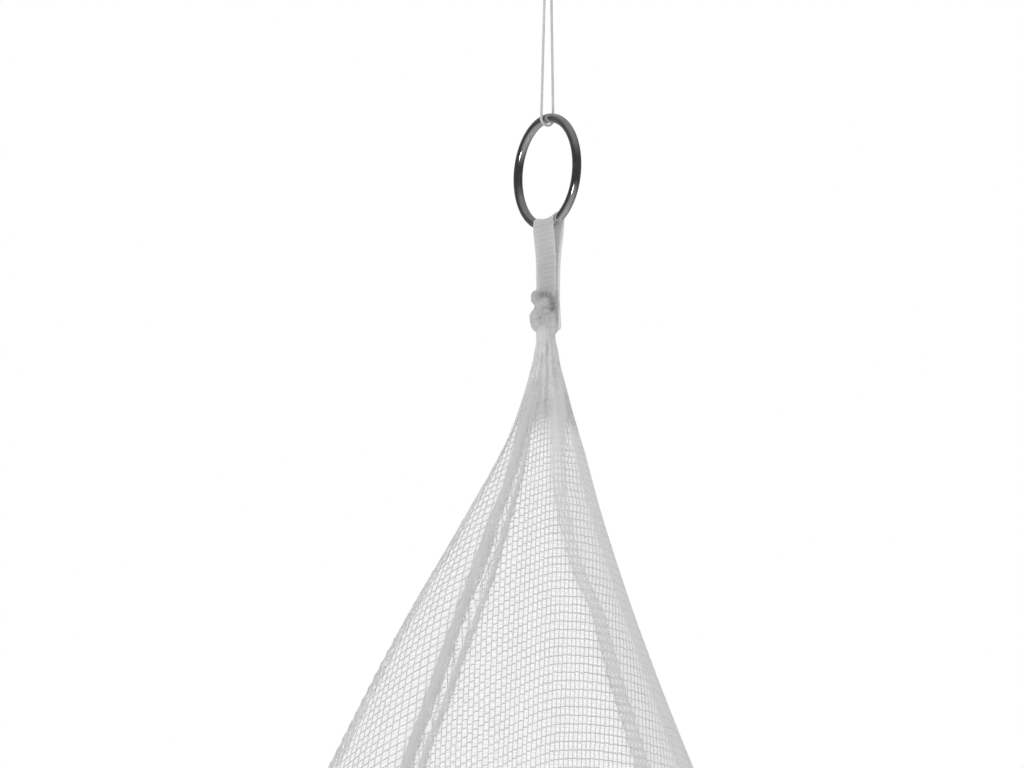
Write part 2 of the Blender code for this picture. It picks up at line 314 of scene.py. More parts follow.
def soft_finish(name, fineness, light, dark, bump, sheen=0.15):
    """White fibre with its own grain, and the shader, for what a finish adds to it."""
    finish, tree, shader = new_finish(name)
    shader.inputs["Sheen Weight"].default_value = sheen
    shader.inputs["Specular IOR Level"].default_value = 0.3
    grain = placed(tree, fibre, (("Fineness", fineness), ("Light", (*light, 1)), ("Dark", (*dark, 1))))
    tree.links.new(grain.outputs["Colour"], shader.inputs["Base Color"])
    tree.links.new(grain.outputs["Roughness"], shader.inputs["Roughness"])
    add_relief(tree, shader, grain.outputs["Height"], bump)
    return finish, tree, shader, grain


# %% Finishes of the cord and the threads
cord_finish = soft_finish("spun cord", 2600, (0.80, 0.80, 0.79), (0.64, 0.64, 0.63), 0.04 * MM)[0]
thread_finish = soft_finish("net thread", 1500, (0.88, 0.88, 0.88), (0.79, 0.79, 0.79), 0.03 * MM)[0]
stitch_finish = soft_finish("sewing thread", 2200, (0.86, 0.86, 0.85), (0.72, 0.72, 0.71), 0.03 * MM)[0]
print("fibre finishes:", cord_finish.name, thread_finish.name, stitch_finish.name)

# %% [markdown]
# ## The cord
# The cord is one thin line of 0.7 mm. It goes down in front of the ring's top, under the wire and up
# again, is knotted 60 mm higher, and ends in a small eye for the ceiling hook. A plain round tube would
# look like wire, so the section is a rounded clover that turns along the cord, as three twisted plies do.

# %% Measures of the cord and the ring
CORD_R = 0.35 * MM
RING_R = 14.05 * MM
WIRE_R = 1.19 * MM
KNOT_TOP = -19.2 * MM
KNOT_HEIGHT = 4.2 * MM
LEG_SPREAD = 0.42 * MM
GAP = 0.3 * MM
EYE_HALF_WIDTH = 3.4 * MM
print("ring across:", round(2 * (RING_R + WIRE_R) / MM, 1), "mm, cord:", 2 * CORD_R / MM, "mm")


# %% Routes of the cord
def at_ring(along, across, up):
    """A point given from the ring's centre."""
    return RING_CENTRE + ALONG * along + ACROSS * across + Vector((0, 0, up))


def evenly(route, step):
    """The same route passed over at even steps."""
    route = np.array([tuple(p) for p in route])
    reach = walked_along(route)
    stops = np.linspace(0, reach[-1], max(2, round(reach[-1] / step) + 1))
    return np.stack([np.interp(stops, reach, route[:, k]) for k in range(3)], axis=1)


def loop_route():
    """From the knot down in front of the ring's top, under its wire, and up again."""
    bend = WIRE_R + GAP + CORD_R
    foot = KNOT_TOP - KNOT_HEIGHT - GAP
    route = [ACROSS * LEG_SPREAD + Vector((0, 0, foot))]
    for angle in np.linspace(0, math.pi, 25):
        route.append(at_ring(0, bend * math.cos(angle), RING_R - bend * math.sin(angle)))
    return route + [ACROSS * -LEG_SPREAD + Vector((0, 0, foot))]


def eye_route():
    """From the knot round the eye and back to the knot."""
    foot = KNOT_TOP + GAP
    route = []
    for t in np.linspace(0, 1, 121):
        arch = math.sin(math.pi * t)
        side = EYE_HALF_WIDTH * math.sin(TURN * t) * max(0.0, arch) ** 0.5
        rise = foot + (CORD_R - foot) * max(0.0, arch) ** 0.8
        spread = LEG_SPREAD * (1 - 2 * t) * (1 - arch)
        route.append(ACROSS * (side + spread) + Vector((0, 0, rise)))
    return route


# %% Directions along a line
# a direction that no cord here follows, to start from
ODD_WAY = (0.31, 0.17, 0.94)


def frames_along(points):
    """Two directions square to the line at each point, carried along it without a sudden turn."""
    tangent = unit(np.gradient(points, axis=0))
    side = np.zeros_like(points)
    side[0] = np.cross(tangent[0], ODD_WAY) + 1e-9
    side[0] /= np.linalg.norm(side[0])
    for k in range(1, len(points)):
        carried = side[k - 1] - tangent[k] * (side[k - 1] @ tangent[k])
        side[k] = carried / np.linalg.norm(carried)
    return side, np.cross(tangent, side)


# %% A twisted cord along a route
PLIES = 3
PLY_DEPTH = 0.16
TWIST_PITCH = 2.6 * MM
CORD_SIDES = 18
CORD_STEP = 0.16 * MM


def twisted_cord(route, radius):
    """Corners, side faces, end faces and middle line of a cord along a route."""
    centre = evenly(route, CORD_STEP)
    side, other = frames_along(centre)
    walked = np.linalg.norm(centre[1] - centre[0]) * np.arange(len(centre))
    angle = np.linspace(0, TURN, CORD_SIDES, endpoint=False)[None, :]
    lobes = np.abs(np.cos(PLIES / 2 * (angle - TURN * walked[:, None] / TWIST_PITCH)))
    width = radius * (1 - PLY_DEPTH + PLY_DEPTH * lobes)[..., None]
    ring = np.cos(angle)[..., None] * side[:, None] + np.sin(angle)[..., None] * other[:, None]
    tube = (centre[:, None] + width * ring).reshape(-1, 3)
    return tube, grid_quads(len(centre), CORD_SIDES, closed=True), centre


# %% Make the cord and its eye
def cord_piece(name, node, route):
    """A length of cord that stands for a node, its middle line and how long it is."""
    corners, quads, centre = twisted_cord(route, CORD_R)
    piece = piece_from(name, corners, quads, cord_finish, "cord")
    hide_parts(node)
    return piece, centre, float(walked_along(centre)[-1])


cord_line, cord_points, cord_length = cord_piece("cord_down_to_ring", "cord_loop", loop_route())
eye_line, eye_points, eye_length = cord_piece("cord_eye", "hanging_eye", eye_route())
print("cord lengths:", round(cord_length, 4), round(eye_length, 4))

# %% [markdown]
# ## The knot in the cord
# An overhand knot pulled tight looks like three turns of the cord round a short core, with one strand that
# crosses them. The turns are a helix that starts and ends inside the barrel.

# %% Cord knot
KNOT_TURNS = 4
KNOT_PATH_R = 0.88 * MM
KNOT_CORE = 0.35
CROSS_TURN, CROSS_START, CROSS_BULGE = 0.32, 0.4, 0.95


def knot_route():
    """The turns of the knot, then the strand that crosses them."""
    route = []
    for t in np.linspace(0, 1, 160):
        angle = TURN * KNOT_TURNS * t
        tuck = min(1, 6 * t, 6 * (1 - t))
        reach = KNOT_PATH_R * (KNOT_CORE + (1 - KNOT_CORE) * tuck)
        up = KNOT_TOP - CORD_R - (KNOT_HEIGHT - 2 * CORD_R) * t
        route.append((reach * math.cos(angle), reach * math.sin(angle), up))
    for t in np.linspace(0, 1, 60)[1:]:
        angle = TURN * CROSS_TURN * t + CROSS_START
        reach = KNOT_PATH_R * (KNOT_CORE + CROSS_BULGE * math.sin(math.pi * t) ** 0.6)
        up = KNOT_TOP - KNOT_HEIGHT + CORD_R + (KNOT_HEIGHT - 2 * CORD_R) * t
        route.append((reach * math.cos(angle), reach * math.sin(angle), up))
    return route


knot_corners, knot_quads, _ = twisted_cord(knot_route(), CORD_R)
cord_knot = piece_from("cord_knot_turns", knot_corners, knot_quads, cord_finish, "cord")
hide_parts("cord_knot")

print("points of the paths:", len(cord_points[::3]), len(eye_points[::2]))

# %% [markdown]
# ## The finish of the ring
# The ring is chromed steel wire. Chrome has almost no colour of its own: what sells it is what it mirrors.
# Its shader has faint polishing marks that blur the mirror a little more in some places than in others.

# %% Chrome
chrome, chrome_tree, chrome_shader = new_finish("bright chrome")
chrome_shader.inputs["Metallic"].default_value = 1.0
marks = noise(chrome_tree, object_place(chrome_tree), 420, detail=5)
dull = ranged(chrome_tree, marks, 0.35, 0.75, 0.09, 0.2)
chrome_tree.links.new(dull, chrome_shader.inputs["Roughness"])
plating = mixed(chrome_tree, marks, (0.60, 0.60, 0.61, 1), (0.78, 0.78, 0.79, 1))
chrome_tree.links.new(plating, chrome_shader.inputs["Base Color"])
add_relief(chrome_tree, chrome_shader, marks, 0.003 * MM)
print("made the finish", chrome.name)

# %% [markdown]
# ## The ring
# The wire is 2.4 mm thick and bent into a ring of 30.5 mm. Blender has a torus to add, but the wire's grid of
# points is worked out here, so that it lies exactly where the CAD ring lies, turned as in the photograph.

# %% Ring
RING_STEPS = 200
WIRE_SIDES = 40
turn = np.linspace(0, TURN, RING_STEPS, endpoint=False)[:, None]
tube = np.linspace(0, TURN, WIRE_SIDES, endpoint=False)[None, :]
out = RING_R + WIRE_R * np.cos(tube)
along_ring = (out * np.cos(turn))[..., None] * np.array(ALONG)
up_ring = (out * np.sin(turn))[..., None] * np.array((0, 0, 1))
across_ring = (WIRE_R * np.sin(tube) * np.ones_like(turn))[..., None] * np.array(ACROSS)
ring_corners = (np.array(RING_CENTRE) + along_ring + up_ring + across_ring).reshape(-1, 3)
# the last row of faces ends on the first row of points, and every face is turned over to face outwards
ring_quads = grid_quads(RING_STEPS + 1, WIRE_SIDES, closed=True)[:, [0, 3, 2, 1]] % len(ring_corners)
ring = piece_from("ring_wire", ring_corners, ring_quads, chrome, "plated_steel")
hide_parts("ring")

# %% [markdown]
# ## The tape
# The tab is 10 mm ribbed tape, doubled over the bottom of the ring. Its ribs run across it every 1.25 mm.
# They are real ridges in the mesh, because they show in outline where the tape bends over the wire. Both
# edges have a slightly thicker woven border, and the end of the back leg was cut long, beside the knot.

# %% Measures of the tape
TAPE_W = 10 * MM
TAPE_T = 0.5 * MM
LEG_CURL = 3
LEG_LENGTH = 39.2 * MM
TAPE_FRONT_END = -34.0 * MM
TAPE_TAIL_END = -42.1 * MM
LEGS_HALF = 0.36 * MM
TAPE_CLEARANCE = 0.1 * MM
RIB_STEP = 1.25 * MM
RIB_HEIGHT = 0.035 * MM
TAIL_FROM = 2.7 * MM
BORDER_HEIGHT, BORDER_FROM, BORDER_SOFT = 0.05 * MM, 0.86, 0.1
TAPE_COLUMNS = 25
ROW_STEP = 0.16 * MM
tail_length = TAPE_FRONT_END - TAPE_TAIL_END
tape_rows = round((LEG_LENGTH + tail_length) / ROW_STEP)
# share of the tape's length, how far it has slipped along the ring there (mm), and its width's share
TAPE_SLIP = ((0, 0.0, 0.9), (0.36, 0.6, 0.92), (0.46, 0.7, 0.92), (0.56, 0.85, 0.92), (0.85, 0.45, 0.9),
             (1, 0.8, 0.96))
print("tape's grid:", tape_rows, "by", TAPE_COLUMNS)


# %% The line of the tape round the wire
def tape_line(along):
    """The tape's middle line at one place along the ring: (across, up) from the front leg's end."""
    bend = WIRE_R + TAPE_CLEARANCE + TAPE_T / 2
    centre = -math.sqrt(RING_R ** 2 - along ** 2)
    t = np.linspace(0, 1, 40)
    leg = np.stack([LEGS_HALF + (bend - LEGS_HALF) * eased(t) ** LEG_CURL,
                    TAPE_FRONT_END + (centre - TAPE_FRONT_END) * t], 1)
    angle = np.linspace(0, math.pi, 30)[1:-1]
    over = np.stack([bend * np.cos(angle), centre + bend * np.sin(angle)], 1)
    back = leg[::-1] * (-1, 1)
    tail = np.array([[-LEGS_HALF - 0.1 * MM * t, TAPE_FRONT_END + (TAPE_TAIL_END - TAPE_FRONT_END) * t]
                     for t in np.linspace(0, 1, 30)[1:]])
    return np.concatenate([leg, over, back, tail])


def tape_foot(along):
    """Height of the wire's middle below one place along the ring."""
    return -np.sqrt(RING_R ** 2 - along ** 2)


def tail_narrowed(along, left):
    """Rounds the cut end of the tail: the place along, at a distance left from its end."""
    half = (TAPE_W / 2 - TAIL_FROM) / 2
    middle = TAIL_FROM + half
    narrow = np.sqrt(1 - (1 - np.clip(left / half, 0.05, 1)) ** 2)
    return np.where(left < half, middle + (along - middle) * narrow, along)


# %% Points of the tape
places = np.linspace(-TAPE_W / 2, TAPE_W / 2, TAPE_COLUMNS)
slip_at, slip, squeeze = np.array(TAPE_SLIP).T
tape_points = np.zeros((tape_rows, TAPE_COLUMNS, 3))
tape_plan = np.zeros((tape_rows, TAPE_COLUMNS, 3))
for column, along in enumerate(places):
    line = tape_line(along)
    reach = walked_along(line)
    stops = np.linspace(0, reach[-1], tape_rows)
    across = np.interp(stops, reach, line[:, 0])
    up = np.interp(stops, reach, line[:, 1])
    slope = unit(np.stack([np.gradient(across), np.gradient(up)], 1))
    rib = RIB_HEIGHT * np.sin(TURN * stops / RIB_STEP)
    border = BORDER_HEIGHT * past(abs(along) / (TAPE_W / 2), BORDER_FROM, BORDER_SOFT)
    lift = rib + border
    walked = stops / reach[-1]
    moved = tail_narrowed(along * np.interp(walked, slip_at, squeeze), reach[-1] - stops)
    moved = moved + np.interp(walked, slip_at, slip) * MM
    near = np.clip((up - TAPE_FRONT_END) / (tape_foot(along) - TAPE_FRONT_END), 0, 1)
    up = up + (tape_foot(moved) - tape_foot(along)) * near
    for r in range(tape_rows):
        tape_points[r, column] = at_ring(moved[r], across[r] + slope[r, 1] * lift[r],
                                         up[r] - slope[r, 0] * lift[r])
    tape_plan[:, column, 0] = along
    tape_plan[:, column, 1] = stops
    tape_cut = float(reach[-1])
print("tape length:", round(tape_cut, 4))

# %% [markdown]
# ## The finish of the tape
# Woven tape is thin, and light that falls on it comes out again a little way off, so its shader has some
# subsurface scattering. Fine yarns run along it, and the valleys between its ribs get a little painted shade.
# The back leg hangs in the front leg's shade but looks as pale in the photograph, so it gets a paler colour,
# which is painted light.

# %% Tape finish
BACK_LEG_FROM, BACK_LEG_TO = 21 * MM, 23 * MM
tape_finish, tape_tree, tape_shader, tape_grain = soft_finish(
    "ribbed tape", 1800, (0.70, 0.70, 0.695), (0.64, 0.64, 0.635), 0.03 * MM)
for label, value in (("Subsurface Weight", 0.9), ("Subsurface Scale", 2.5 * MM)):
    tape_shader.inputs[label].default_value = value
tape_shader.inputs["Subsurface Radius"].default_value = (1, 1, 1)
tape_map = stored(tape_tree, "cloth_plan").outputs["Vector"]
yarn_feeds = (("Vector", tape_map), ("Scale", 620), ("Distortion", 1.5), ("Detail Scale", 3))
yarns = add_node(tape_tree, "ShaderNodeTexWave", yarn_feeds, bands_direction="X").outputs["Fac"]
down_tape = axes_of(tape_tree, tape_map)["Y"]
rib_wave = sum_node(tape_tree, "SINE", sum_node(tape_tree, "MULTIPLY", down_tape, TURN / RIB_STEP))
# painted shade: the valleys between the ribs are painted a little darker
valley_painted_shade = ranged(tape_tree, rib_wave, -1, 0.4, 0.94, 1.0)
# painted light: the back leg, in the front leg's shade, is painted paler from here on
back_leg_painted_light = ranged(tape_tree, down_tape, BACK_LEG_FROM, BACK_LEG_TO, 0, 1)
tape_shade = mixed(tape_tree, back_leg_painted_light, tape_grain.outputs["Colour"], (0.97, 0.97, 0.965, 1))
ribbed_shade = mixed(tape_tree, 1, tape_shade, valley_painted_shade, blend="MULTIPLY")
tape_tree.links.new(ribbed_shade, tape_shader.inputs["Base Color"])
add_relief(tape_tree, tape_shader, yarns, 0.05 * MM)
print("made the finish", tape_finish.name)

# %% Cut the tape and give it thickness
body_rows = int(np.searchsorted(tape_plan[:, 0, 1], tape_cut - tail_length))
tail_first = int(np.searchsorted(places, TAIL_FROM))
tape_quads = grid_quads(tape_rows, TAPE_COLUMNS)
quad_row = tape_quads[:, 0] // TAPE_COLUMNS
quad_column = tape_quads[:, 0] % TAPE_COLUMNS
kept = (quad_row < body_rows) | (quad_column >= tail_first)
used, tape_quads = np.unique(tape_quads[kept], return_inverse=True)
tape_quads = tape_quads.reshape(-1, 4)
tape = piece_from("ring_tape", tape_points.reshape(-1, 3)[used], tape_quads, tape_finish, "ribbed_tape")
add_plan(tape, tape_plan.reshape(-1, 3)[used])
thickness = tape.modifiers.new("thickness", "SOLIDIFY")
thickness.thickness = TAPE_T - 2 * RIB_HEIGHT
thickness.offset = 0
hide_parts("tab")

# %% [markdown]
# ## How the net hangs
# The cloth is half a disc of 2.27 m, rolled into a cone, gathered to a neck 43 mm below the ring's middle.
# Its form is described the way a drape is measured: at some depths, how far it reaches left and right, and
# how much of that reach its flutes take. In front it is pulled smooth between long narrow tucks, where the
# cloth passes back and forth over itself; through open mesh each tuck shows as a dense band.

# %% The net's measures
NECK = RING_CENTRE + Vector((0, 0, -42.8 * MM))
NET_DEPTH = 2.2
HEM = 25 * MM
APEX_ABOVE_NECK = 12 * MM
FLUTES = 14
# depth (m), reach left, reach right (mm), share the flutes take, calm of the front
STATIONS = np.array((
    (0.000, 2.9, 2.2, 0.10, 0.0),
    (0.004, 3.3, 2.7, 0.16, 0.0),
    (0.010, 4.4, 3.6, 0.20, 0.2),
    (0.018, 6.7, 5.6, 0.18, 0.5),
    (0.030, 11.8, 9.2, 0.14, 0.8),
    (0.050, 22.6, 14.9, 0.11, 1.0),
    (0.076, 37.5, 23.3, 0.11, 1.0),
    (0.113, 56.3, 37.4, 0.11, 1.0),
    (0.200, 100, 76, 0.12, 0.85),
    (0.400, 190, 168, 0.15, 0.45),
    (0.800, 338, 326, 0.19, 0.12),
    (1.300, 492, 488, 0.22, 0.0),
    (1.800, 616, 618, 0.245, 0.0),
    (2.200, 704, 708, 0.26, 0.0),
))
print("stations:", len(STATIONS))

# %% The tucks' measures
# each tuck: times the cloth passes over itself, lift of the folds (mm), depths where it opens out (m),
# and a line of (depth in m, azimuth in degrees, width in mm)
TUCKS = (
    {"passes": 3, "lift": 0.3, "opens": (0.3, 0.6), "line": (
        (0, -80, 0.4), (0.010, -78, 0.8), (0.0317, -80, 1.6), (0.0775, -82, 3.0), (0.113, -83, 4.0),
        (0.25, -84, 5), (0.6, -84, 6))},
    {"passes": 7, "lift": 0.5, "opens": (0.3, 0.7), "line": (
        (0, -48, 0.9), (0.010, -42, 2.2), (0.0186, -39, 3.2), (0.025, -40, 3.6), (0.0317, -36, 3.1),
        (0.038, -33.5, 2.9), (0.0513, -32.2, 3.6), (0.064, -30.8, 4.3), (0.0775, -31.6, 3.9),
        (0.0905, -32.2, 3.9), (0.1, -33, 3.9), (0.113, -34.3, 3.9), (0.25, -35, 5), (0.6, -36, 6))},
    {"passes": 5, "lift": 0.5, "opens": (0.3, 0.6), "line": (
        (0, -20, 0.5), (0.010, -24, 0.8), (0.0186, -22, 1.1), (0.025, -24, 1.2), (0.038, -19.5, 1.5),
        (0.0513, -19.2, 1.8), (0.064, -19.2, 2), (0.0775, -20.8, 2.3), (0.0905, -23.9, 2.4),
        (0.1, -25.2, 2.5),
        (0.113, -28, 2.6), (0.25, -29, 3.6), (0.6, -30, 4))},
    {"passes": 3, "lift": 0.5, "opens": (0.3, 0.7), "line": (
        (0, 36, 1.5), (0.010, 36, 2.6), (0.0186, 33, 4.0), (0.0317, 22, 3.7), (0.038, 21.5, 3.6),
        (0.0513, 26.5, 3.4), (0.064, 32.3, 3.4), (0.0775, 41.3, 3.6), (0.0905, 42.2, 3.7), (0.113, 43.7, 3.8),
        (0.25, 45, 5), (0.6, 46, 6))},
    {"passes": 3, "lift": 0.4, "opens": (0.3, 0.7), "line": (
        (0, 78, 0.6), (0.010, 74, 1.4), (0.0186, 70, 2.1), (0.038, 64, 2.8), (0.064, 69, 3),
        (0.0905, 72, 3.6),
        (0.113, 71, 4.4), (0.25, 74, 5), (0.6, 76, 6))},
)
SIDE_FOLD_AT, SIDE_FOLD_SPREAD, SIDE_FOLD_SHARE, SIDE_FOLD_REACH, SIDE_FOLD_ROUND = -86, 16, 0.10, 55, 0.1
CALM_MIDDLE, CALM_HALF, CALM_SOFT = -10, 122, 6
# how uneven the flutes are and how they drift round the net: size, waves a turn, start
FLUTE_UNEVEN = ((0.22, 3, 1.0), (0.15, 5, 0.3))
FLUTE_DRIFT = ((0.9, 2, 0.7), (0.7, 3, 2.1))
print("tucks:", len(TUCKS))


# %% A smooth line through a table
def through(x, xs, ys):
    """A smooth line through a table that never overshoots it."""
    step = np.diff(xs)
    slope = np.diff(ys) / step
    bend = np.zeros_like(ys)
    bend[0], bend[-1] = slope[0], slope[-1]
    same = slope[:-1] * slope[1:] > 0
    safe = np.where(same, slope[:-1] + slope[1:], 1)
    bend[1:-1] = np.where(same, 2 * slope[:-1] * slope[1:] / safe, 0)
    x = np.clip(x, xs[0], xs[-1])
    k = np.clip(np.searchsorted(xs, x, side="right") - 1, 0, len(xs) - 2)
    t = (x - xs[k]) / step[k]
    return ((1 + 2 * t) * (1 - t) ** 2 * ys[k] + t * (1 - t) ** 2 * step[k] * bend[k]
            + t * t * (3 - 2 * t) * ys[k + 1] + t * t * (t - 1) * step[k] * bend[k + 1])


# %% Reading the measures at any depth
def station(depth):
    """Reach left, reach right, the flutes' share and the calm of the front at a depth."""
    left, right, share, calm = (through(depth, STATIONS[:, 0], STATIONS[:, k]) for k in (1, 2, 3, 4))
    return left * MM, right * MM, share, calm


def wrapped(angle):
    """The same angle, between minus and plus half a turn."""
    return (angle + math.pi) % TURN - math.pi


def waves(azimuth, table):
    """A sum of sine waves round the net."""
    return sum(size * np.sin(times * azimuth + start) for size, times, start in table)


def net_radius(azimuth, depth):
    """Reach of the net from the middle of its section, that middle, and the mean reach."""
    left, right, share, calm = station(depth)
    reach = (left + right) / 2
    off_side = np.abs(np.degrees(wrapped(azimuth - math.radians(SIDE_FOLD_AT))))
    ridge = np.exp(SIDE_FOLD_ROUND - np.hypot(off_side / SIDE_FOLD_SPREAD, SIDE_FOLD_ROUND))
    hollow = (1 - ridge) * np.exp(-(off_side / SIDE_FOLD_REACH) ** 2)
    body = 1 - SIDE_FOLD_SHARE * calm * hollow
    uneven = 1 + waves(azimuth, FLUTE_UNEVEN)
    off_front = np.abs(np.degrees(wrapped(azimuth - math.radians(CALM_MIDDLE))))
    behind = 1 / (1 + np.exp(-(off_front - CALM_HALF) / CALM_SOFT))
    flute = share * uneven * (1 - calm * (1 - behind))
    phase = FLUTES * azimuth + waves(azimuth, FLUTE_DRIFT)
    return reach * (body - flute * (0.5 - 0.5 * np.cos(phase))), (right - left) / 2, reach


def round_neck(azimuth, radius, middle, depth):
    """Points round the net's own middle at a depth."""
    return np.array(NECK) + np.stack([middle + radius * np.sin(azimuth), -radius * np.cos(azimuth),
                                      np.full_like(radius, -depth)], 1)


# %% One section of the net, tucks and all
PANEL_POINTS = (120, 90, 26, 180, 110, 150)
PASS_POINTS = 16
# a tuck that is narrower than this on each side lies flatter than its lift says
FULL_LIFT_HALF = 1.2 * MM
# seen nearly from its edge a tuck is drawn no wider than this cosine allows, and its half angle has limits
EDGE_ON = 0.35
HALF_LIMITS = (1e-5, 0.3)


def tuck_at(tuck, depth):
    """Azimuth of a tuck's middle and half its angle at a depth."""
    line = np.array(tuck["line"], float)
    middle = math.radians(through(depth, line[:, 0], line[:, 1]))
    width = through(depth, line[:, 0], line[:, 2]) * MM
    start, end = tuck["opens"]
    width *= 1 - past(depth, start, end - start)
    reach = net_radius(np.zeros(1), depth)[2]
    return middle, float(np.clip(width / 2 / max(EDGE_ON, abs(math.cos(middle))) / reach, *HALF_LIMITS))


def net_section(depth):
    """The line of the cloth round the net at a depth, from the back round the front to the back."""
    azimuths, lifts = [], []
    start = -math.pi
    reach = net_radius(np.zeros(1), depth)[2]
    for count, tuck in zip(PANEL_POINTS, TUCKS):
        middle, half = tuck_at(tuck, depth)
        azimuths.append(np.linspace(start, middle - half, count, endpoint=False))
        lifts.append(np.zeros(count))
        t = np.linspace(0, tuck["passes"], tuck["passes"] * PASS_POINTS, endpoint=False)
        share = t / tuck["passes"]
        lift = tuck["lift"] * MM * min(1, half * reach / FULL_LIFT_HALF)
        azimuths.append(middle - half * np.cos(math.pi * t))
        lifts.append(lift * (1 - 2 * eased(share)) * np.sqrt(np.sin(math.pi * share)))
        start = middle + half
    azimuths.append(np.linspace(start, math.pi, PANEL_POINTS[-1] + 1))
    lifts.append(np.zeros(PANEL_POINTS[-1] + 1))
    azimuth = np.concatenate(azimuths)
    radius, middle, _ = net_radius(azimuth, depth)
    radius = radius + np.concatenate(lifts)
    return middle + radius * np.sin(azimuth), -radius * np.cos(azimuth)


# %% [markdown]
# ## From flat cloth to hung cloth
# A mesh cloth stretches little, so a thread keeps its distance from the point where the cloth is gathered,
# and its share of the way round. Each section is therefore numbered by cloth angle, from -90 to 90 degrees
# for half a disc. Then any point of the flat cloth, threads and stitches included, can be carried to where
# it hangs.

# %% Hang the cloth
CLOTH_HALF = math.pi / 2
CLOTH_COLUMNS = 1800
# rows lie 1 mm apart in the neck, 2.5 mm apart in the threads' region, and wider and wider below it
NECK_TO, EVEN_TO = 0.03, 0.2
depth_rows = np.concatenate([np.linspace(0, NECK_TO, 31)[:-1], np.linspace(NECK_TO, EVEN_TO, 69)[:-1],
                             EVEN_TO * (NET_DEPTH / EVEN_TO) ** np.linspace(0, 1, 46)])
cloth_angles = np.linspace(-CLOTH_HALF, CLOTH_HALF, CLOTH_COLUMNS + 1)


def hung_rows():
    """For each depth, the points at the cloth angles and their distance from the cloth's apex."""
    points = np.zeros((len(depth_rows), CLOTH_COLUMNS + 1, 3))
    for row, depth in enumerate(depth_rows):
        x, y = net_section(depth)
        far = np.sqrt(x * x + y * y + (depth + APEX_ABOVE_NECK) ** 2)
        along = np.hypot(np.diff(x), np.diff(y))
        turned = np.sqrt(np.maximum(along ** 2 - np.diff(far) ** 2, 0)) / ((far[1:] + far[:-1]) / 2)
        angle = np.concatenate([[0], np.cumsum(turned)])
        angle = angle / angle[-1] * 2 * CLOTH_HALF - CLOTH_HALF
        points[row, :, 0] = np.interp(cloth_angles, angle, x)
        points[row, :, 1] = np.interp(cloth_angles, angle, y)
        points[row, :, 2] = -depth
    apart = points + (0, 0, -APEX_ABOVE_NECK)
    return points + np.array(NECK), np.linalg.norm(apart, axis=2)


hung, distance = hung_rows()
print("cloth from", round(distance[0].min(), 4), "to", round(distance[-1].max(), 3), "m from its apex")


# %% Read the hung cloth and the flat cloth
def on_rays(wanted):
    """The hung cloth read at the wanted distances: one row of distances for each cloth angle."""
    out = np.zeros((wanted.shape[0], CLOTH_COLUMNS + 1, 3))
    for column in range(CLOTH_COLUMNS + 1):
        for axis in range(3):
            out[:, column, axis] = np.interp(wanted[:, column], distance[:, column], hung[:, column, axis])
    return out


def flat_places(far, angle):
    """Places on the flat cloth, in metres, from distances and cloth angles."""
    far, angle = np.broadcast_arrays(far, angle)
    return np.stack([far * np.sin(angle), far * np.cos(angle), np.zeros_like(far)], -1)


# %% Carry flat points to the hung cloth
THREADS_FROM = 0.024
THREADS_TO = 0.16
near_rows = np.linspace(THREADS_FROM, THREADS_TO, 200)
near_cloth = on_rays(np.repeat(near_rows[:, None], CLOTH_COLUMNS + 1, axis=1))


def hang_points(far, angle):
    """Points of the flat cloth, by distance and cloth angle, carried to where they hang."""
    row = np.clip((far - THREADS_FROM) / (near_rows[1] - near_rows[0]), 0, len(near_rows) - 1.001)
    column = np.clip((angle + CLOTH_HALF) / (cloth_angles[1] - cloth_angles[0]), 0, CLOTH_COLUMNS - 0.001)
    r, c = row.astype(int), column.astype(int)
    u, v = (row - r)[:, None], (column - c)[:, None]
    above = near_cloth[r, c] * (1 - v) + near_cloth[r, c + 1] * v
    below = near_cloth[r + 1, c] * (1 - v) + near_cloth[r + 1, c + 1] * v
    return above * (1 - u) + below * u


# %% [markdown]
# ## Threads of the net
# Bed net is warp knitted: fine chains of thread, the wales, run down it side by side, and short bars tie each
# wale to the next, a step lower or higher than the bar before. Near the ring every thread is real geometry,
# a thin tube. Wales keep their distance from each other, so they are counted along the cloth from the middle
# of the front; bars are counted down from the knot. The left panel is pulled wide by the knot, so it has a
# chart of its own. The two charts meet inside a dense tuck.

# %% How far each point is round the net
from_neck = near_cloth - np.array(NECK)
near_azimuth = np.arctan2(from_neck[..., 0], -from_neck[..., 1])
steps_round = np.linalg.norm(np.diff(near_cloth, axis=1), axis=2)
way_round = np.concatenate([np.zeros((len(near_rows), 1)), np.cumsum(steps_round, axis=1)], axis=1)


def round_share(zero, covered):
    """The way round from the azimuth zero, in distances from the apex, on some of the cloth's columns."""
    off = np.abs(near_azimuth[:, covered] - math.radians(zero))
    way = way_round[:, covered]
    start = way[np.arange(len(near_rows)), np.argmin(off, axis=1)]
    return (way - start[:, None]) / near_rows[:, None]


print("way round the cloth:", round(float(way_round[-1, -1] / THREADS_TO), 2), "times its distance down")

# %% Charts of the mesh
BARS_A_METRE = 380
LEFT_EDGE, RIGHT_EDGE = -58, 54
# cloth angles that a chart covers, the azimuth that it counts from, how much flatter than its row each bar
# lies, and, at some shares of the way round, wales and bars counted a metre down
CHARTS = (
    {"covers": (LEFT_EDGE, -24), "zero": -60, "stair": 0.15,
     "wales": ((-1, -513), (1, 207)), "bars": ((-1, 0.432), (1, 1.290))},
    {"covers": (-24, RIGHT_EDGE), "zero": -5, "stair": 0.6,
     "wales": ((-1.0, -710), (-0.07, -58), (0.12, 103), (0.3, 238), (1.9, 1358)),
     "bars": ((-1.0, 0.2), (-0.25, 0.80), (-0.06, 0.959), (0.06, 1.022), (0.14, 1.028), (0.4, 1.018),
              (1.9, 0.57))},
)
THREAD_WANDER = 0.03
# near the knot the mesh is pulled narrower and its bars lie closer
CLOSER_TO = 0.045
CLOSER_WALES = 0.7
MORE_BARS = 3.2
FEWEST_ROWS = 4
print("charts:", len(CHARTS))


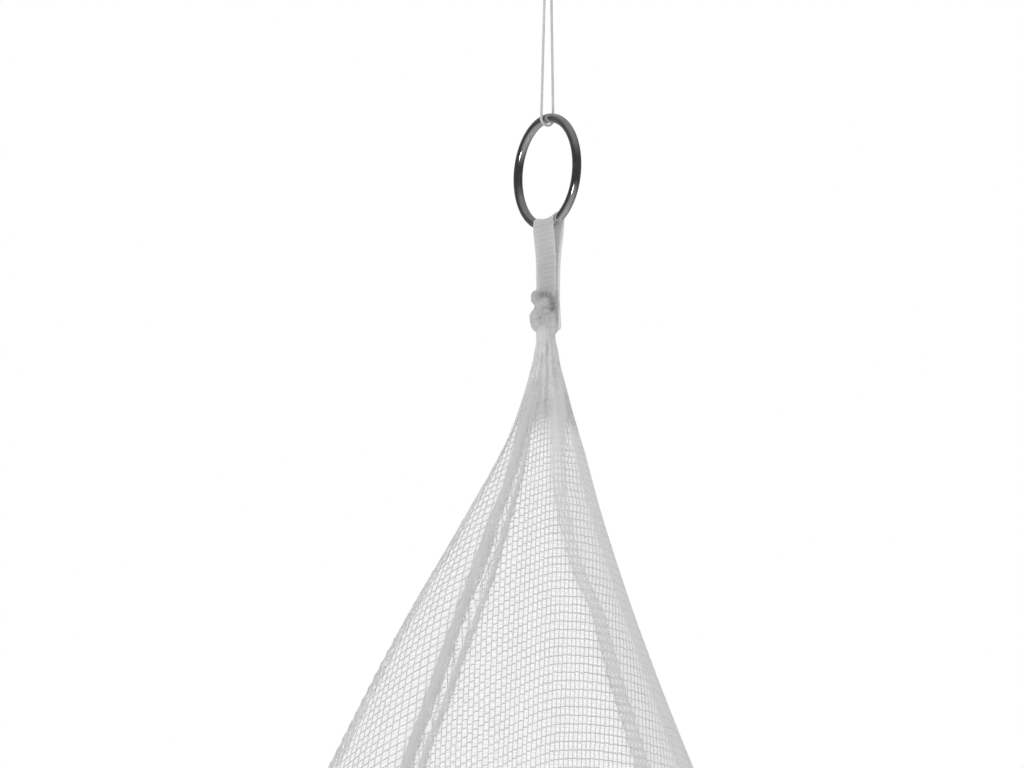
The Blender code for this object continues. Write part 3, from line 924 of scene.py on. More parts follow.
# %% Wales of a chart
def wale_lines(chart):
    """For each wale of a chart: the rows that it crosses, its cloth angle and its count of bars there."""
    low, high = chart["covers"]
    covered = np.flatnonzero((cloth_angles >= math.radians(low)) & (cloth_angles <= math.radians(high)))
    share = round_share(chart["zero"], covered)
    wales_at, wale_counts = np.array(chart["wales"], float).T
    bars_at, bar_counts = np.array(chart["bars"], float).T
    closer = 1 + CLOSER_WALES * np.exp(-(near_rows[:, None] / CLOSER_TO) ** 2)
    wale_field = near_rows[:, None] * np.interp(share, wales_at, wale_counts) * closer
    more = MORE_BARS * CLOSER_TO * (1 - np.exp(-near_rows[:, None] / CLOSER_TO * 2)) / 2
    bar_field = BARS_A_METRE * (near_rows[:, None] * through(share, bars_at, bar_counts) + more)
    numbers = np.arange(math.ceil(wale_field.min()), math.floor(wale_field.max()) + 1)
    angles = cloth_angles[covered]
    place = np.array([np.interp(numbers, line, angles, left=np.nan, right=np.nan) for line in wale_field])
    count = np.array([np.interp(at, angles, line) for at, line in zip(place, bar_field)])
    return place, count


# %% Knit a chart
def knitted(chart):
    """Both ends of every piece of wale and of every bar of a chart, as (distance, cloth angle)."""
    place, count = wale_lines(chart)
    random = np.random.default_rng(12)
    wales, bars = [], []
    for k in range(place.shape[1] - 1):
        here = np.flatnonzero(~np.isnan(place[:, k]))
        both = ~np.isnan(place[here, k + 1])
        if len(here) < FEWEST_ROWS:
            continue
        counts = np.maximum.accumulate(count[here, k])
        levels = np.arange(math.ceil(counts[0]), math.floor(counts[-1]) + 1)
        levels = levels + random.normal(0, THREAD_WANDER, len(levels))
        far = np.interp(levels, counts, near_rows[here])
        node = np.stack([far, np.interp(levels, counts, place[here, k])], -1)
        wales.append(np.stack([node[:-1], node[1:]]))
        if both.sum() < FEWEST_ROWS:
            continue
        there = here[both]
        step = np.interp(far, near_rows[there], count[there, k + 1] - count[there, k])
        counts = np.maximum.accumulate(count[there, k + 1])
        inside = (far > near_rows[there[0]]) & (far < near_rows[there[-1]])
        level = (levels + chart["stair"] * step)[inside]
        end = np.stack([np.interp(level, counts, near_rows[there]),
                        np.interp(level, counts, place[there, k + 1])], -1)
        bars.append(np.stack([node[inside], end]))
    return np.concatenate(wales, axis=1), np.concatenate(bars, axis=1)


# %% Hang the threads
LONGEST_THREAD = 3.4 * MM


def hang_threads(ends):
    """Where the ends of the threads hang, without those that would span a fold."""
    start, end = (hang_points(e[:, 0], e[:, 1]) for e in ends)
    short = np.linalg.norm(end - start, axis=1) < LONGEST_THREAD
    return start[short], end[short]


# %% Tubes along the threads
THREAD_SIDES = 4
print("sides of a thread:", THREAD_SIDES)


def thread_tubes(start, end, radius, overlap=0.0):
    """Thin open tubes from start to end: corners and faces."""
    line = end - start
    length = np.linalg.norm(line, axis=1)[:, None]
    line = line / np.maximum(length, 1e-9)
    start = start - line * overlap
    end = end + line * overlap
    helper = np.where(np.abs(line[:, 1:2]) < 0.8, (0.0, 1.0, 0.0), (1.0, 0.0, 0.0))
    side = unit(np.cross(line, helper))
    other = np.cross(line, side)
    around = np.linspace(0, TURN, THREAD_SIDES, endpoint=False)
    ring = side[:, None] * np.cos(around)[None, :, None] + other[:, None] * np.sin(around)[None, :, None]
    corners = np.concatenate([start[:, None] + ring * radius, end[:, None] + ring * radius], axis=1)
    first = np.arange(len(start))[:, None] * 2 * THREAD_SIDES
    one_tube = grid_quads(2, THREAD_SIDES, closed=True)
    quads = first[:, :, None] + one_tube[None]
    return corners.reshape(-1, 3), quads.reshape(-1, 4)


# %% Make the threads
BAR_R = 0.17 * MM
WALE_R = 0.145 * MM
WALE_OVERLAP = 0.05 * MM
wale_ends, bar_ends = [], []
for chart in CHARTS:
    wales, bars = knitted(chart)
    wale_ends.append(hang_threads(wales))
    bar_ends.append(hang_threads(bars))
wale_start, wale_end = (np.concatenate([ends[k] for ends in wale_ends]) for k in (0, 1))
bar_start, bar_end = (np.concatenate([ends[k] for ends in bar_ends]) for k in (0, 1))
net_wales = piece_from("net_wale_threads", *thread_tubes(wale_start, wale_end, WALE_R, WALE_OVERLAP),
                       thread_finish, "net_cloth", smooth=False)
net_bars = piece_from("net_bar_threads", *thread_tubes(bar_start, bar_end, BAR_R), thread_finish, "net_cloth",
                      smooth=False)

# %% [markdown]
# ## The rest of the net
# Below the threads the holes are too many to build: over two million. From there to the hem the cloth is
# a thin sheet on the same form, and its finish cuts the same cells out of it from the flat plan. The hem is
# the cloth's own edge turned up twice inside, 25 mm deep, and the straight sides of the half disc lap each
# other by 8 mm down the back.

# %% The sheet's points
SHEET_COLUMNS = 720
SHEET_ROWS = 64
SHEET_FROM = 0.158
CLOSER_ROWS = 1.7
share = np.linspace(0, 1, SHEET_ROWS)[:, None] ** CLOSER_ROWS
to_hem = SHEET_FROM + (distance[-1][None, :] - SHEET_FROM) * share
sheet_cloth = on_rays(to_hem)
picked = np.round(np.linspace(0, CLOTH_COLUMNS, SHEET_COLUMNS + 1)).astype(int)
sheet_points = sheet_cloth[:, picked]
sheet_far = to_hem[:, picked]
sheet_angle = np.repeat(cloth_angles[picked][None, :], SHEET_ROWS, axis=0)
print("the sheet's grid:", sheet_points.shape[:2])


# %% The hem's turns
# how far inwards and up each turn of the hem goes (mm), and the cloth that it takes
HEM_TURNS = ((0.3, -0.3, 0.5), (0.7, 0.1, 1.0), (0.9, 12, 13), (0.9, 24.6, 25.5), (0.7, 25, 26),
             (0.4, 24.6, 26.5), (0.4, 12, 39), (0.4, 1.5, 49.5))


def hem_turn(points, inwards, up):
    """A copy of the bottom row, moved towards the middle of the net and up."""
    moved = points[-1].copy()
    moved[:, :2] -= unit(moved[:, :2] - np.array((NECK.x, NECK.y))) * inwards
    moved[:, 2] += up
    return moved


turns = [hem_turn(sheet_points, inwards * MM, up * MM) for inwards, up, _ in HEM_TURNS]
turn_far = [sheet_far[-1] + used * MM for _, _, used in HEM_TURNS]
all_points = np.concatenate([sheet_points, np.array(turns)])
all_far = np.concatenate([sheet_far, np.array(turn_far)])
all_angle = np.concatenate([sheet_angle, np.repeat(sheet_angle[:1], len(HEM_TURNS), axis=0)])
print("rows with the hem's turns:", len(all_points))

# %% The lap at the back
LAP = 8 * MM
SIDE_LAP_COLUMNS = 3
# no lap reaches further than this many columns of the cloth
LAP_REACH = 60
LAP_BEHIND, LAP_INTO_HEM = 0.5 * MM, 0.6 * MM
lap_points, lap_far, lap_angle = [], [], []
for step in range(1, SIDE_LAP_COLUMNS + 1):
    offset = LAP * step / SIDE_LAP_COLUMNS
    column = offset / all_far / (cloth_angles[1] - cloth_angles[0])
    low = np.clip(column.astype(int), 0, LAP_REACH)
    rows = np.minimum(np.arange(len(all_far)), SHEET_ROWS - 1)
    part = (column[:, 0] - low[:, 0])[:, None]
    at = sheet_cloth[rows, low[:, 0]] * (1 - part) + sheet_cloth[rows, low[:, 0] + 1] * part
    at[:, 1] += LAP_BEHIND
    at[SHEET_ROWS:, 2] = all_points[SHEET_ROWS:, -1, 2]
    at[SHEET_ROWS:, 1] -= LAP_INTO_HEM
    lap_points.append(at)
    lap_far.append(all_far[:, -1])
    lap_angle.append(all_angle[:, -1] + offset / all_far[:, -1])
all_points, all_far, all_angle = (
    np.concatenate([cloth, np.stack(lap, axis=1)], axis=1)
    for cloth, lap in ((all_points, lap_points), (all_far, lap_far), (all_angle, lap_angle)))
print("columns with the lap:", all_points.shape[1])

# %% Finish of the net cloth, with its holes
net_finish, net_tree, net_shader, _ = soft_finish(
    "net cloth", 900, (0.92, 0.92, 0.92), (0.84, 0.84, 0.84), 0.05 * MM)
mesh_cells = placed(net_tree, cells, (("Plan", stored(net_tree, "cloth_plan").outputs["Vector"]),))
net_tree.links.new(mesh_cells.outputs["Thread mask"], net_shader.inputs["Alpha"])
print("made the finish", net_finish.name)

# %% Hang the sheet
flat_plan = flat_places(all_far, all_angle)
sheet_quads = grid_quads(all_points.shape[0], all_points.shape[1])
net_sheet = piece_from("net_sheet", all_points.reshape(-1, 3), sheet_quads, net_finish, "net_cloth")
add_plan(net_sheet, flat_plan.reshape(-1, 3))

# %% [markdown]
# ## The far side of the top
# Through the front of the net its far side shows only as a soft grey veil, because the eye rests on the near
# threads. Threads built there would fight with the front ones. The far side is therefore a sheet again, and
# its finish softens the mesh: the holes keep a little cloth and the threads are half clear. Where the cloth
# lies many times over itself, no hole is left and its shade is nearly even.

# %% Soft mesh finish
ONE_LAYER, TWO_LAYERS = 0.9, 1.8
HOLES_OF_ONE, HOLES_OF_MANY = 0.16, 0.36
THREAD_COVER = 0.26
veil_finish, veil_tree, veil_shader, veil_grain = soft_finish(
    "far net cloth", 1300, (0.95, 0.95, 0.95), (0.84, 0.84, 0.84), 0.05 * MM)
veil_cells = placed(veil_tree, cells, (("Plan", stored(veil_tree, "cloth_plan").outputs["Vector"]),))
veil_layers = stored(veil_tree, "layers").outputs["Fac"]
single = ranged(veil_tree, veil_layers, ONE_LAYER, TWO_LAYERS, 1, 0)
veil_lines = sum_node(veil_tree, "MULTIPLY", veil_cells.outputs["Thread mask"], single)
veil_holes = ranged(veil_tree, veil_layers, ONE_LAYER, TWO_LAYERS, HOLES_OF_ONE, HOLES_OF_MANY)
veil_soft = sum_node(veil_tree, "MULTIPLY_ADD", veil_lines, THREAD_COVER, veil_holes)
veil_cover = sum_node(veil_tree, "MULTIPLY", veil_soft, veil_layers)
veil_tree.links.new(sum_node(veil_tree, "MINIMUM", veil_cover, 1.0), veil_shader.inputs["Alpha"])
# painted light and shade: where many layers lie, the colour goes towards a deep painted shade, paler where
# the stored painted light is high
veil_painted_light = stored(veil_tree, "painted_light").outputs["Fac"]
deep_painted_shade = mixed(veil_tree, veil_painted_light, (0.62, 0.62, 0.62, 1), (0.98, 0.98, 0.98, 1))
veil_depth_painted_shade = ranged(veil_tree, veil_layers, 0.5, 2.2, 0, 0.9)
veil_shade = mixed(veil_tree, veil_depth_painted_shade, veil_grain.outputs["Colour"], deep_painted_shade)
veil_tree.links.new(veil_shade, veil_shader.inputs["Base Color"])
print("made the finish", veil_finish.name)

# %% Hang the far side
FAR_FIRST_ROW, FAR_ROW_STEP, FAR_COLUMN_STEP = 8, 4, 5
FAR_FADE_ROWS = 7
# towards the sheet below, the far side's veil gets as dense as the sheet is
FAR_DENSER, FAR_DENSER_FROM, FAR_DENSER_OVER = 0.17, 0.13, 0.025
far_columns = np.flatnonzero((np.degrees(cloth_angles) < LEFT_EDGE) | (np.degrees(cloth_angles) > RIGHT_EDGE))
far_columns = np.concatenate([far_columns[far_columns > CLOTH_COLUMNS / 2],
                              far_columns[far_columns < CLOTH_COLUMNS / 2]])[::FAR_COLUMN_STEP]
far_rows = np.arange(FAR_FIRST_ROW, len(near_rows), FAR_ROW_STEP)
far_points = near_cloth[np.ix_(far_rows, far_columns)]
far_plan = flat_places(near_rows[far_rows][:, None], cloth_angles[far_columns][None, :])
net_far = piece_from("net_far_side", far_points.reshape(-1, 3), grid_quads(len(far_rows), len(far_columns)),
                     veil_finish, "net_cloth")
add_plan(net_far, far_plan.reshape(-1, 3))
denser = FAR_DENSER * past(near_rows[far_rows], FAR_DENSER_FROM, FAR_DENSER_OVER)
far_fade = eased(np.arange(len(far_rows)) / FAR_FADE_ROWS) + denser
add_number(net_far.data, "layers", np.repeat(far_fade[:, None], len(far_columns), axis=1))
# the far side is given the palest painted light
add_number(net_far.data, "painted_light", np.ones(far_points.shape[:2]))

# %% [markdown]
# ## Layers over the tucks
# In a tuck the cloth lies over itself up to seven times, and to the right of the front the loose cloth lies
# double. So many layers of mesh blur into a soft grey, which is partly painted shade. A strip of the same
# soft cloth lies over each of these places, and the number of layers that it stands for fades to nothing at
# its top and its foot. The strips to the right, which face away from the window light, are painted paler, and
# those to
# the left, which face it, darker: painted light and shade.

# %% Measures of the strips
STRIP_COLUMNS = 13
STRIP_ROWS = 60
# depths where the strips set in and where they end: from, and over
STRIP_SETS_IN, STRIP_ENDS = (0.007, 0.009), (0.124, 0.024)
strip_depths = np.linspace(0.006, 0.15, STRIP_ROWS)
# each strip: from one side of a tuck to a side of a tuck, how far outside the cloth (mm), the layers that it
# stands for at five places across, and how pale it is painted: painted light on the right, which faces away
# from the window light, and painted shade on the left, which faces it
STRIPS = (
    ((0, -1), (0, 1), 0.15, (0, 0.9, 1.1, 0.9, 0), 0.5),
    ((1, -1.9), (1, 1.7), 0.6, (0, 1.2, 2.1, 1.4, 0), 0.52),
    ((1, 1), (2, -1), 0.45, (0.3, 0.5, 0.5, 0.5, 0.3), 0.5),
    ((2, -1.9), (2, 1.9), 0.55, (0, 1.2, 2.0, 1.1, 0), 0.5),
    ((3, -2.0), (3, 1), 0.5, (0, 1.3, 2.1, 2.1, 1.6), 0.95),
    ((3, 1), (4, -1), 0.35, (1.6, 1.4, 1.5, 1.9, 2.3), 1),
    ((4, -1), (4, 1), 0.3, (2.3, 2.5, 2.6, 2.5, 2.4), 1),
)
print("strips:", len(STRIPS))


# %% Lay the strips
def tuck_side(place, depth):
    """Azimuth of one side of a tuck."""
    number, side = place
    middle, half = tuck_at(TUCKS[number], depth)
    return middle + side * half


def veil_strip(first, last, off):
    """Points of a strip over the cloth between two azimuths that change with depth."""
    strip = np.zeros((STRIP_ROWS, STRIP_COLUMNS, 3))
    for row, depth in enumerate(strip_depths):
        azimuth = np.linspace(tuck_side(first, depth), tuck_side(last, depth), STRIP_COLUMNS)
        radius, middle, _ = net_radius(azimuth, depth)
        strip[row] = round_neck(azimuth, radius + off * MM, middle, depth)
    return strip.reshape(-1, 3)


strip_corners = np.concatenate([veil_strip(first, last, off) for first, last, off, _, _ in STRIPS])
strip_faces = np.concatenate([grid_quads(STRIP_ROWS, STRIP_COLUMNS, first=k * STRIP_ROWS * STRIP_COLUMNS)
                              for k in range(len(STRIPS))])
strip_fade = past(strip_depths, *STRIP_SETS_IN) * (1 - past(strip_depths, *STRIP_ENDS))
strip_layers = [strip_fade[:, None] * np.interp(np.linspace(0, 4, STRIP_COLUMNS), np.arange(5), covers)
                for _, _, _, covers, _ in STRIPS]
net_tucks = piece_from("net_tuck_layers", strip_corners, strip_faces, veil_finish, "net_cloth")
add_plan(net_tucks, strip_corners[:, [0, 2, 1]])
strip_painted_light = np.repeat([painted_light for _, _, _, _, painted_light in STRIPS], STRIP_ROWS * STRIP_COLUMNS)
add_number(net_tucks.data, "layers", np.array(strip_layers))
add_number(net_tucks.data, "painted_light", strip_painted_light)

# %% [markdown]
# ## Stitching
# One line of stitches holds the hem and one holds the lap at the back. A stitch is a short float of
# thread on the outside, then one on the inside, so the line dips in and out of the cloth every 3 mm.

# %% Stitches along the hem and the back lap
STITCH = 3 * MM
# the hem's seam lies this far below its upper fold
SEAM_BELOW_FOLD = 3 * MM
SEWING_R = 0.13 * MM
STITCH_OUT, STITCH_IN = 0.35 * MM, -0.75 * MM


def stitched(line, outwards):
    """A running stitch along a line of points: its tubes' ends."""
    even = evenly(line, STITCH / 3)
    out = np.stack([np.interp(np.linspace(0, 1, len(even)), np.linspace(0, 1, len(outwards)), outwards[:, k])
                    for k in range(3)], 1)
    lift = np.where(np.arange(len(even)) % 3 < 2, STITCH_OUT, STITCH_IN)[:, None]
    sewn = even + out * lift
    return sewn[:-1], sewn[1:]


hem_share = (HEM - SEAM_BELOW_FOLD) / NET_DEPTH
seam_row = on_rays(np.repeat(distance[-1][None, :] * (1 - hem_share), 1, axis=0))[0]
seam_out = seam_row - np.array((NECK.x, NECK.y, 0))
seam_out[:, 2] = 0
seam_out = unit(seam_out)
lap_line = lap_points[1][:SHEET_ROWS]
lap_out = np.repeat([[0.0, 1.0, 0.0]], len(lap_line), axis=0)
sewn = [stitched(seam_row, seam_out), stitched(lap_line, lap_out)]
stitch_start, stitch_end = (np.concatenate([ends[k] for ends in sewn]) for k in (0, 1))
stitching = piece_from("net_stitching", *thread_tubes(stitch_start, stitch_end, SEWING_R), stitch_finish,
                       "net_cloth")

# %% [markdown]
# ## The net's own knot
# The gathered top of the cloth is wound round the tape's end and pulled tight. Wound cloth is a heap of
# rolls, so the knot is built of rolls: each is a line of balls, all are fused into one skin, and the skin is
# then pleated along the pull of the knot. Places are read from the photograph as points across and down
# the view, then set beside the ring in millimetres.

# %% Rolls of the knot
PIXEL = 0.2588 * MM
VIEW_X, VIEW_Y = 547.4, 171.1
# each roll: radius in millimetres, then points (pixel across, pixel down, millimetres towards the back)
ROLLS = (
    (1.25, ((535.6, 295.5, -0.5), (536.0, 299.5, -0.7))),
    (0.9, ((538.4, 294.5, -0.5), (539.2, 299.0, -0.9))),
    (1.15, ((537.5, 302.0, -0.9), (542.0, 309.0, -1.6), (545.8, 316.0, -2.0), (547.0, 324.0, -1.8))),
    (2.35, ((538.6, 317.0, -0.1), (539.6, 323.5, 0.2))),
    (2.0, ((541.5, 310.0, 0.4), (545.5, 318.0, 0.4), (547.0, 328.0, 0.2))),
    (1.7, ((549.5, 311.0, -0.1), (550.0, 320.0, -0.3), (549.5, 330.0, -0.2))),
    (0.70, ((534.8, 292.8, 2.4), (542.8, 292.6, -0.9), (551.2, 292.4, -4.1), (554.4, 292.6, -5.2))),
    (0.75, ((536.0, 296.0, 1.9), (542.8, 296.0, -1.0), (551.2, 296.0, -4.2), (554.0, 296.0, -5.2))),
    (0.80, ((538.0, 300.0, 1.2), (542.8, 300.0, -1.1), (551.0, 300.5, -4.2), (553.4, 301.0, -5.0))),
    (0.85, ((539.0, 304.0, 0.8), (544.0, 305.0, -1.6), (550.0, 305.5, -3.8), (552.6, 306.5, -4.6))),
    (0.95, ((541.0, 309.0, 0.2), (546.0, 311.0, -2.0), (550.6, 312.0, -3.4))),
    (1.05, ((545.0, 317.0, -1.2), (550.4, 318.0, -2.6), (551.6, 325.0, -2.0))),
    (0.55, ((544.5, 299.5, -1.3), (545.3, 295.8, -1.7), (548.0, 296.0, -1.7), (549.6, 301.0, -1.4))),
    (1.3, ((540.0, 296.0, 1.7), (548.0, 300.0, 2.0), (551.0, 310.0, 1.8))),
    (2.0, ((545.6, 331.0, -0.6), (545.6, 340.0, -0.6), (545.8, 346.0, 0.0))),
    (1.5, ((540.4, 326.0, 0.2), (541.8, 333.0, 0.0), (542.2, 342.0, 0.0))),
    (1.4, ((549.4, 326.0, -0.4), (549.7, 334.0, -0.2), (550.2, 342.0, 0.0))),
    (0.9, ((551.5, 322.0, -2.4), (551.4, 330.0, -1.4), (551.6, 337.0, -0.8))),
    (0.6, ((554.6, 296.0, -4.4), (554.9, 312.0, -4.3), (554.4, 325.0, -3.6))),
    (0.8, ((552.6, 309.0, -3.8), (552.8, 316.0, -3.4), (552.4, 324.0, -2.8))),
    (0.8, ((556.6, 322.0, -3.2), (556.2, 328.0, -2.8), (553.6, 331.5, -1.8))),
)
print("rolls:", len(ROLLS))


# %% Fuse the rolls into one skin
SKIN_CELL = 0.16 * MM
SKIN_EASED = 5
BALLS_APART = 0.5 * MM


def from_view(across, down, back):
    """A point of the photograph's view, some way behind the ring's centre, in the part's frame."""
    up = (VIEW_Y - down) * PIXEL
    z = (up + back * MM * math.sin(CAMERA_PITCH)) / math.cos(CAMERA_PITCH)
    return RING_CENTRE + Vector(((across - VIEW_X) * PIXEL, back * MM, z))


def rolled_cloth():
    """The rolls as lines of balls, fused and smoothed."""
    heap = bmesh.new()
    for radius, points in ROLLS:
        for where in evenly([from_view(*p) for p in points], BALLS_APART):
            bmesh.ops.create_icosphere(heap, subdivisions=3, radius=radius * MM,
                                       matrix=Matrix.Translation(where))
    data = bpy.data.meshes.new("rolls")
    heap.to_mesh(data)
    heap.free()
    lump = bpy.data.objects.new("rolls", data)
    bpy.context.scene.collection.objects.link(lump)
    skin = lump.modifiers.new("skin", "REMESH")
    skin.mode = "VOXEL"
    skin.voxel_size = SKIN_CELL
    ease = lump.modifiers.new("ease", "SMOOTH")
    ease.iterations = SKIN_EASED
    bpy.context.view_layer.update()
    made = lump.evaluated_get(bpy.context.evaluated_depsgraph_get())
    fused = bpy.data.meshes.new_from_object(made)
    bpy.data.objects.remove(lump, do_unlink=True)
    return fused


wound = rolled_cloth()
print("the knot's skin has", len(wound.polygons), "faces")

# %% Pleat the skin
PLEAT_DEPTH = 0.10 * MM
KNOT_MIDDLE_X = 0.3 * MM
# two sets of pleats that cross: size, pleats a turn, slant
KNOT_PLEATS = ((0.6, 17, 0.9), (0.4, 29, -1.4))
count = len(wound.vertices)
skin_points = np.zeros(count * 3, np.float32)
skin_normals = np.zeros(count * 3, np.float32)
wound.vertices.foreach_get("co", skin_points)
wound.vertices.foreach_get("normal", skin_normals)
skin_points = skin_points.reshape(-1, 3).astype(float)
skin_normals = skin_normals.reshape(-1, 3)
local = skin_points - np.array(NECK)
around = np.arctan2(local[:, 0] - KNOT_MIDDLE_X, -local[:, 1])
down_knot = local[:, 2] / MM
pleat = sum(size * np.sin(times * around + slant * down_knot) for size, times, slant in KNOT_PLEATS)
skin_points += skin_normals * (pleat * PLEAT_DEPTH)[:, None]
wound.vertices.foreach_set("co", skin_points.astype(np.float32).ravel())
wound.polygons.foreach_set("use_smooth", np.ones(len(wound.polygons), bool))
wound.update()
print("pleats stand", round(PLEAT_DEPTH / MM, 2), "mm proud")

# %% [markdown]
# ## The painted shades of the knot
# The knot's cloth is the net's, but wound so tight that its layers shade each other, and that shade is
# painted:
# the knot is coloured grey. Light hardly gets into the hollow under its top roll, which is painted as a dark
# crescent of shade, and at its foot the cloth is let out and is painted paler, with less shade. Both painted
# shades are stored at the corners of the skin, and the finish mixes them in.

# %% Hollow and foot of the knot
# the hollow, which is painted in shade: points like those of the rolls, and how far round each it reaches
RECESS = ((543.0, 294.5, -1.8), (546.4, 294.5, -3.0), (549.5, 296.0, -4.4), (551.6, 299.4, -5.2),
          (551.8, 304.0, -5.0), (552.6, 308.5, -4.6))
RECESS_REACH = np.array((1.05, 3.4, 1.1)) * MM
# pixel rows between which the cloth is let out, and its painted shade gives way to a paler colour
LET_OUT_FROM, LET_OUT_TO = 318.0, 336.0
recess_painted_shade = np.zeros(count)
for place in RECESS:
    off_recess = (skin_points - np.array(from_view(*place))) / RECESS_REACH
    recess_painted_shade = np.maximum(recess_painted_shade, np.exp(-np.sum(off_recess ** 2, axis=1)))
paler_from, paler_to = from_view(VIEW_X, LET_OUT_FROM, 0).z, from_view(VIEW_X, LET_OUT_TO, 0).z
let_out_less_shade = past(skin_points[:, 2], paler_from, paler_to - paler_from)
add_number(wound, "recess", recess_painted_shade)
add_number(wound, "let_out_less_shade", let_out_less_shade)
print("corners in the hollow:", int((recess_painted_shade > 0.5).sum()))

# %% Finish of the knot
# the wound cloth's grey is painted shade of its tight layers
knot_finish, knot_tree, knot_shader, knot_grain = soft_finish(
    "wound net cloth", 1400, (0.66, 0.66, 0.66), (0.50, 0.50, 0.50), 0.08 * MM, sheen=0.05)
in_recess_painted_shade = stored(knot_tree, "recess").outputs["Fac"]
# painted shade: the hollow under the top roll is painted dark
knot_shade = mixed(knot_tree, in_recess_painted_shade, knot_grain.outputs["Colour"], (0.27, 0.27, 0.27, 1))
in_foot = stored(knot_tree, "let_out_less_shade").outputs["Fac"]
# the let-out foot is painted paler, with less painted shade
knot_blend = mixed(knot_tree, in_foot, knot_shade, (0.76, 0.76, 0.76, 1))
knot_tree.links.new(knot_blend, knot_shader.inputs["Base Color"])
print("made the finish", knot_finish.name)

# %% Place the knot
wound.materials.clear()
wound.materials.append(knot_finish)
net_knot = bpy.data.objects.new("net_knot", wound)
bpy.context.scene.collection.objects.link(net_knot)
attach(net_knot, "root")
print("net_knot has", len(wound.polygons), "faces")

# %% [markdown]
# ## Gathers in the neck
# Just under the knot the whole width of the cloth is squeezed into a neck thinner than a pencil, so it is
# many layers deep and hardly a hole shows. A pleated skin stands for those layers: solid at the knot, then
# more and more open, until the single layer of threads is all that is left.

# %% Shape of the gathers
GATHER_DEPTH = 0.036
GATHER_ROWS = 70
GATHER_COLUMNS = 360
GATHER_PLEATS = 23
PLEAT_DRIFT = ((1.5, 3, 0.0),)
GATHER_TWIST = 0.8
TWIST_OVER = 0.012
FOLD_AT, CREST_AT, FOLD_HALF = 0.31, -0.06, 0.13
FOLD_DEPTH, FOLD_OVER, CREST_SHARE = 0.45 * MM, 0.02, 0.6
PLEAT_STEP = 0.08 * MM
# how far the gathers lie outside the cloth (mm), further where they cover the threads' ends, less in the
# knot, and the depths over which the one and the other sets in or ends: from, and over
GATHER_OUT, COVER_OUT, TUCKED_IN = 0.12, 0.36, 0.5
COVER_SETS_IN, COVER_ENDS, OUT_OF_KNOT = (0.006, 0.006), (0.022, 0.012), (-0.001, 0.006)
GATHER_PLAN_R = 0.012
gather_depths = np.linspace(-0.001, GATHER_DEPTH, GATHER_ROWS)
gather_azimuths = np.linspace(-math.pi, math.pi, GATHER_COLUMNS + 1)
gather_points = np.zeros((GATHER_ROWS, GATHER_COLUMNS + 1, 3))
gather_plan = np.zeros((GATHER_ROWS, GATHER_COLUMNS + 1, 3))
for row, depth in enumerate(gather_depths):
    below = max(0.0, depth)
    radius, middle, _ = net_radius(gather_azimuths, below)
    wound_by = GATHER_TWIST * (1 - math.exp(-below / TWIST_OVER))
    turned = wrapped(gather_azimuths + wound_by)
    wave = np.cos(GATHER_PLEATS * turned + waves(turned, PLEAT_DRIFT))
    fold = np.exp(-((turned - FOLD_AT) / FOLD_HALF) ** 2)
    crest = np.exp(-((turned - CREST_AT) / FOLD_HALF) ** 2)
    deep = FOLD_DEPTH * math.exp(-below / FOLD_OVER)
    covering = past(depth, *COVER_SETS_IN) * (1 - past(depth, *COVER_ENDS))
    in_knot = 1 - past(depth, *OUT_OF_KNOT)
    radius = radius + (GATHER_OUT + COVER_OUT * covering - TUCKED_IN * in_knot) * MM
    radius = radius - PLEAT_STEP * (0.5 - 0.5 * wave) + deep * (CREST_SHARE * crest - fold)
    gather_points[row] = round_neck(gather_azimuths, radius, middle, depth)
    gather_plan[row, :, 0] = gather_azimuths * GATHER_PLAN_R
    gather_plan[row, :, 1] = depth
print("gathers reach", round(GATHER_DEPTH / MM), "mm down")

# %% Finish of the gathers
CLOSED_FROM, CLOSED_TO = 0.010, 0.029
OPEN_FROM, OPEN_TO = 0.014, 0.031
gather_finish, gather_tree, gather_shader, _ = soft_finish(
    "gathered net cloth", 1500, (0.82, 0.82, 0.82), (0.70, 0.70, 0.70), 0.03 * MM)
gather_map = stored(gather_tree, "cloth_plan").outputs["Vector"]
down_neck = axes_of(gather_tree, gather_map)["Y"]
thick = ranged(gather_tree, down_neck, CLOSED_FROM, GATHER_DEPTH, 0.9 * MM, 0.2 * MM)
gather_cells = placed(gather_tree, cells, (("Plan", gather_map), ("Cell width", 1.1 * MM),
                                           ("Cell height", 1.9 * MM), ("Thread", thick), ("Wobble", 0.6)))
closed = ranged(gather_tree, down_neck, CLOSED_FROM, CLOSED_TO, 1, 0)
left_open = ranged(gather_tree, down_neck, OPEN_FROM, OPEN_TO, 1, 0)
gather_threads = sum_node(gather_tree, "MULTIPLY", gather_cells.outputs["Thread mask"], left_open)
gather_tree.links.new(sum_node(gather_tree, "MAXIMUM", gather_threads, closed), gather_shader.inputs["Alpha"])
print("made the finish", gather_finish.name)

# %% Hang the gathers
net_gathers = piece_from("net_gathers", gather_points.reshape(-1, 3),
                         grid_quads(GATHER_ROWS, GATHER_COLUMNS + 1), gather_finish, "net_cloth")
add_plan(net_gathers, gather_plan.reshape(-1, 3))

# %% The net's solid is hidden, and its pieces take its place
net_layers = (net_wales, net_bars, net_far, net_tucks, net_knot, net_gathers, stitching)
for piece in (net_sheet, *net_layers):
    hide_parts("net")

# %% [markdown]
# ## The studio
# The photograph was taken against plain white in soft light. A chromed ring needs something dark to
# mirror, or it vanishes. So the world has three faces, told apart by the kind of ray: plain white for the
# camera, an even soft light for cloth, and for the chrome a room with dark walls and a paler floor and roof.

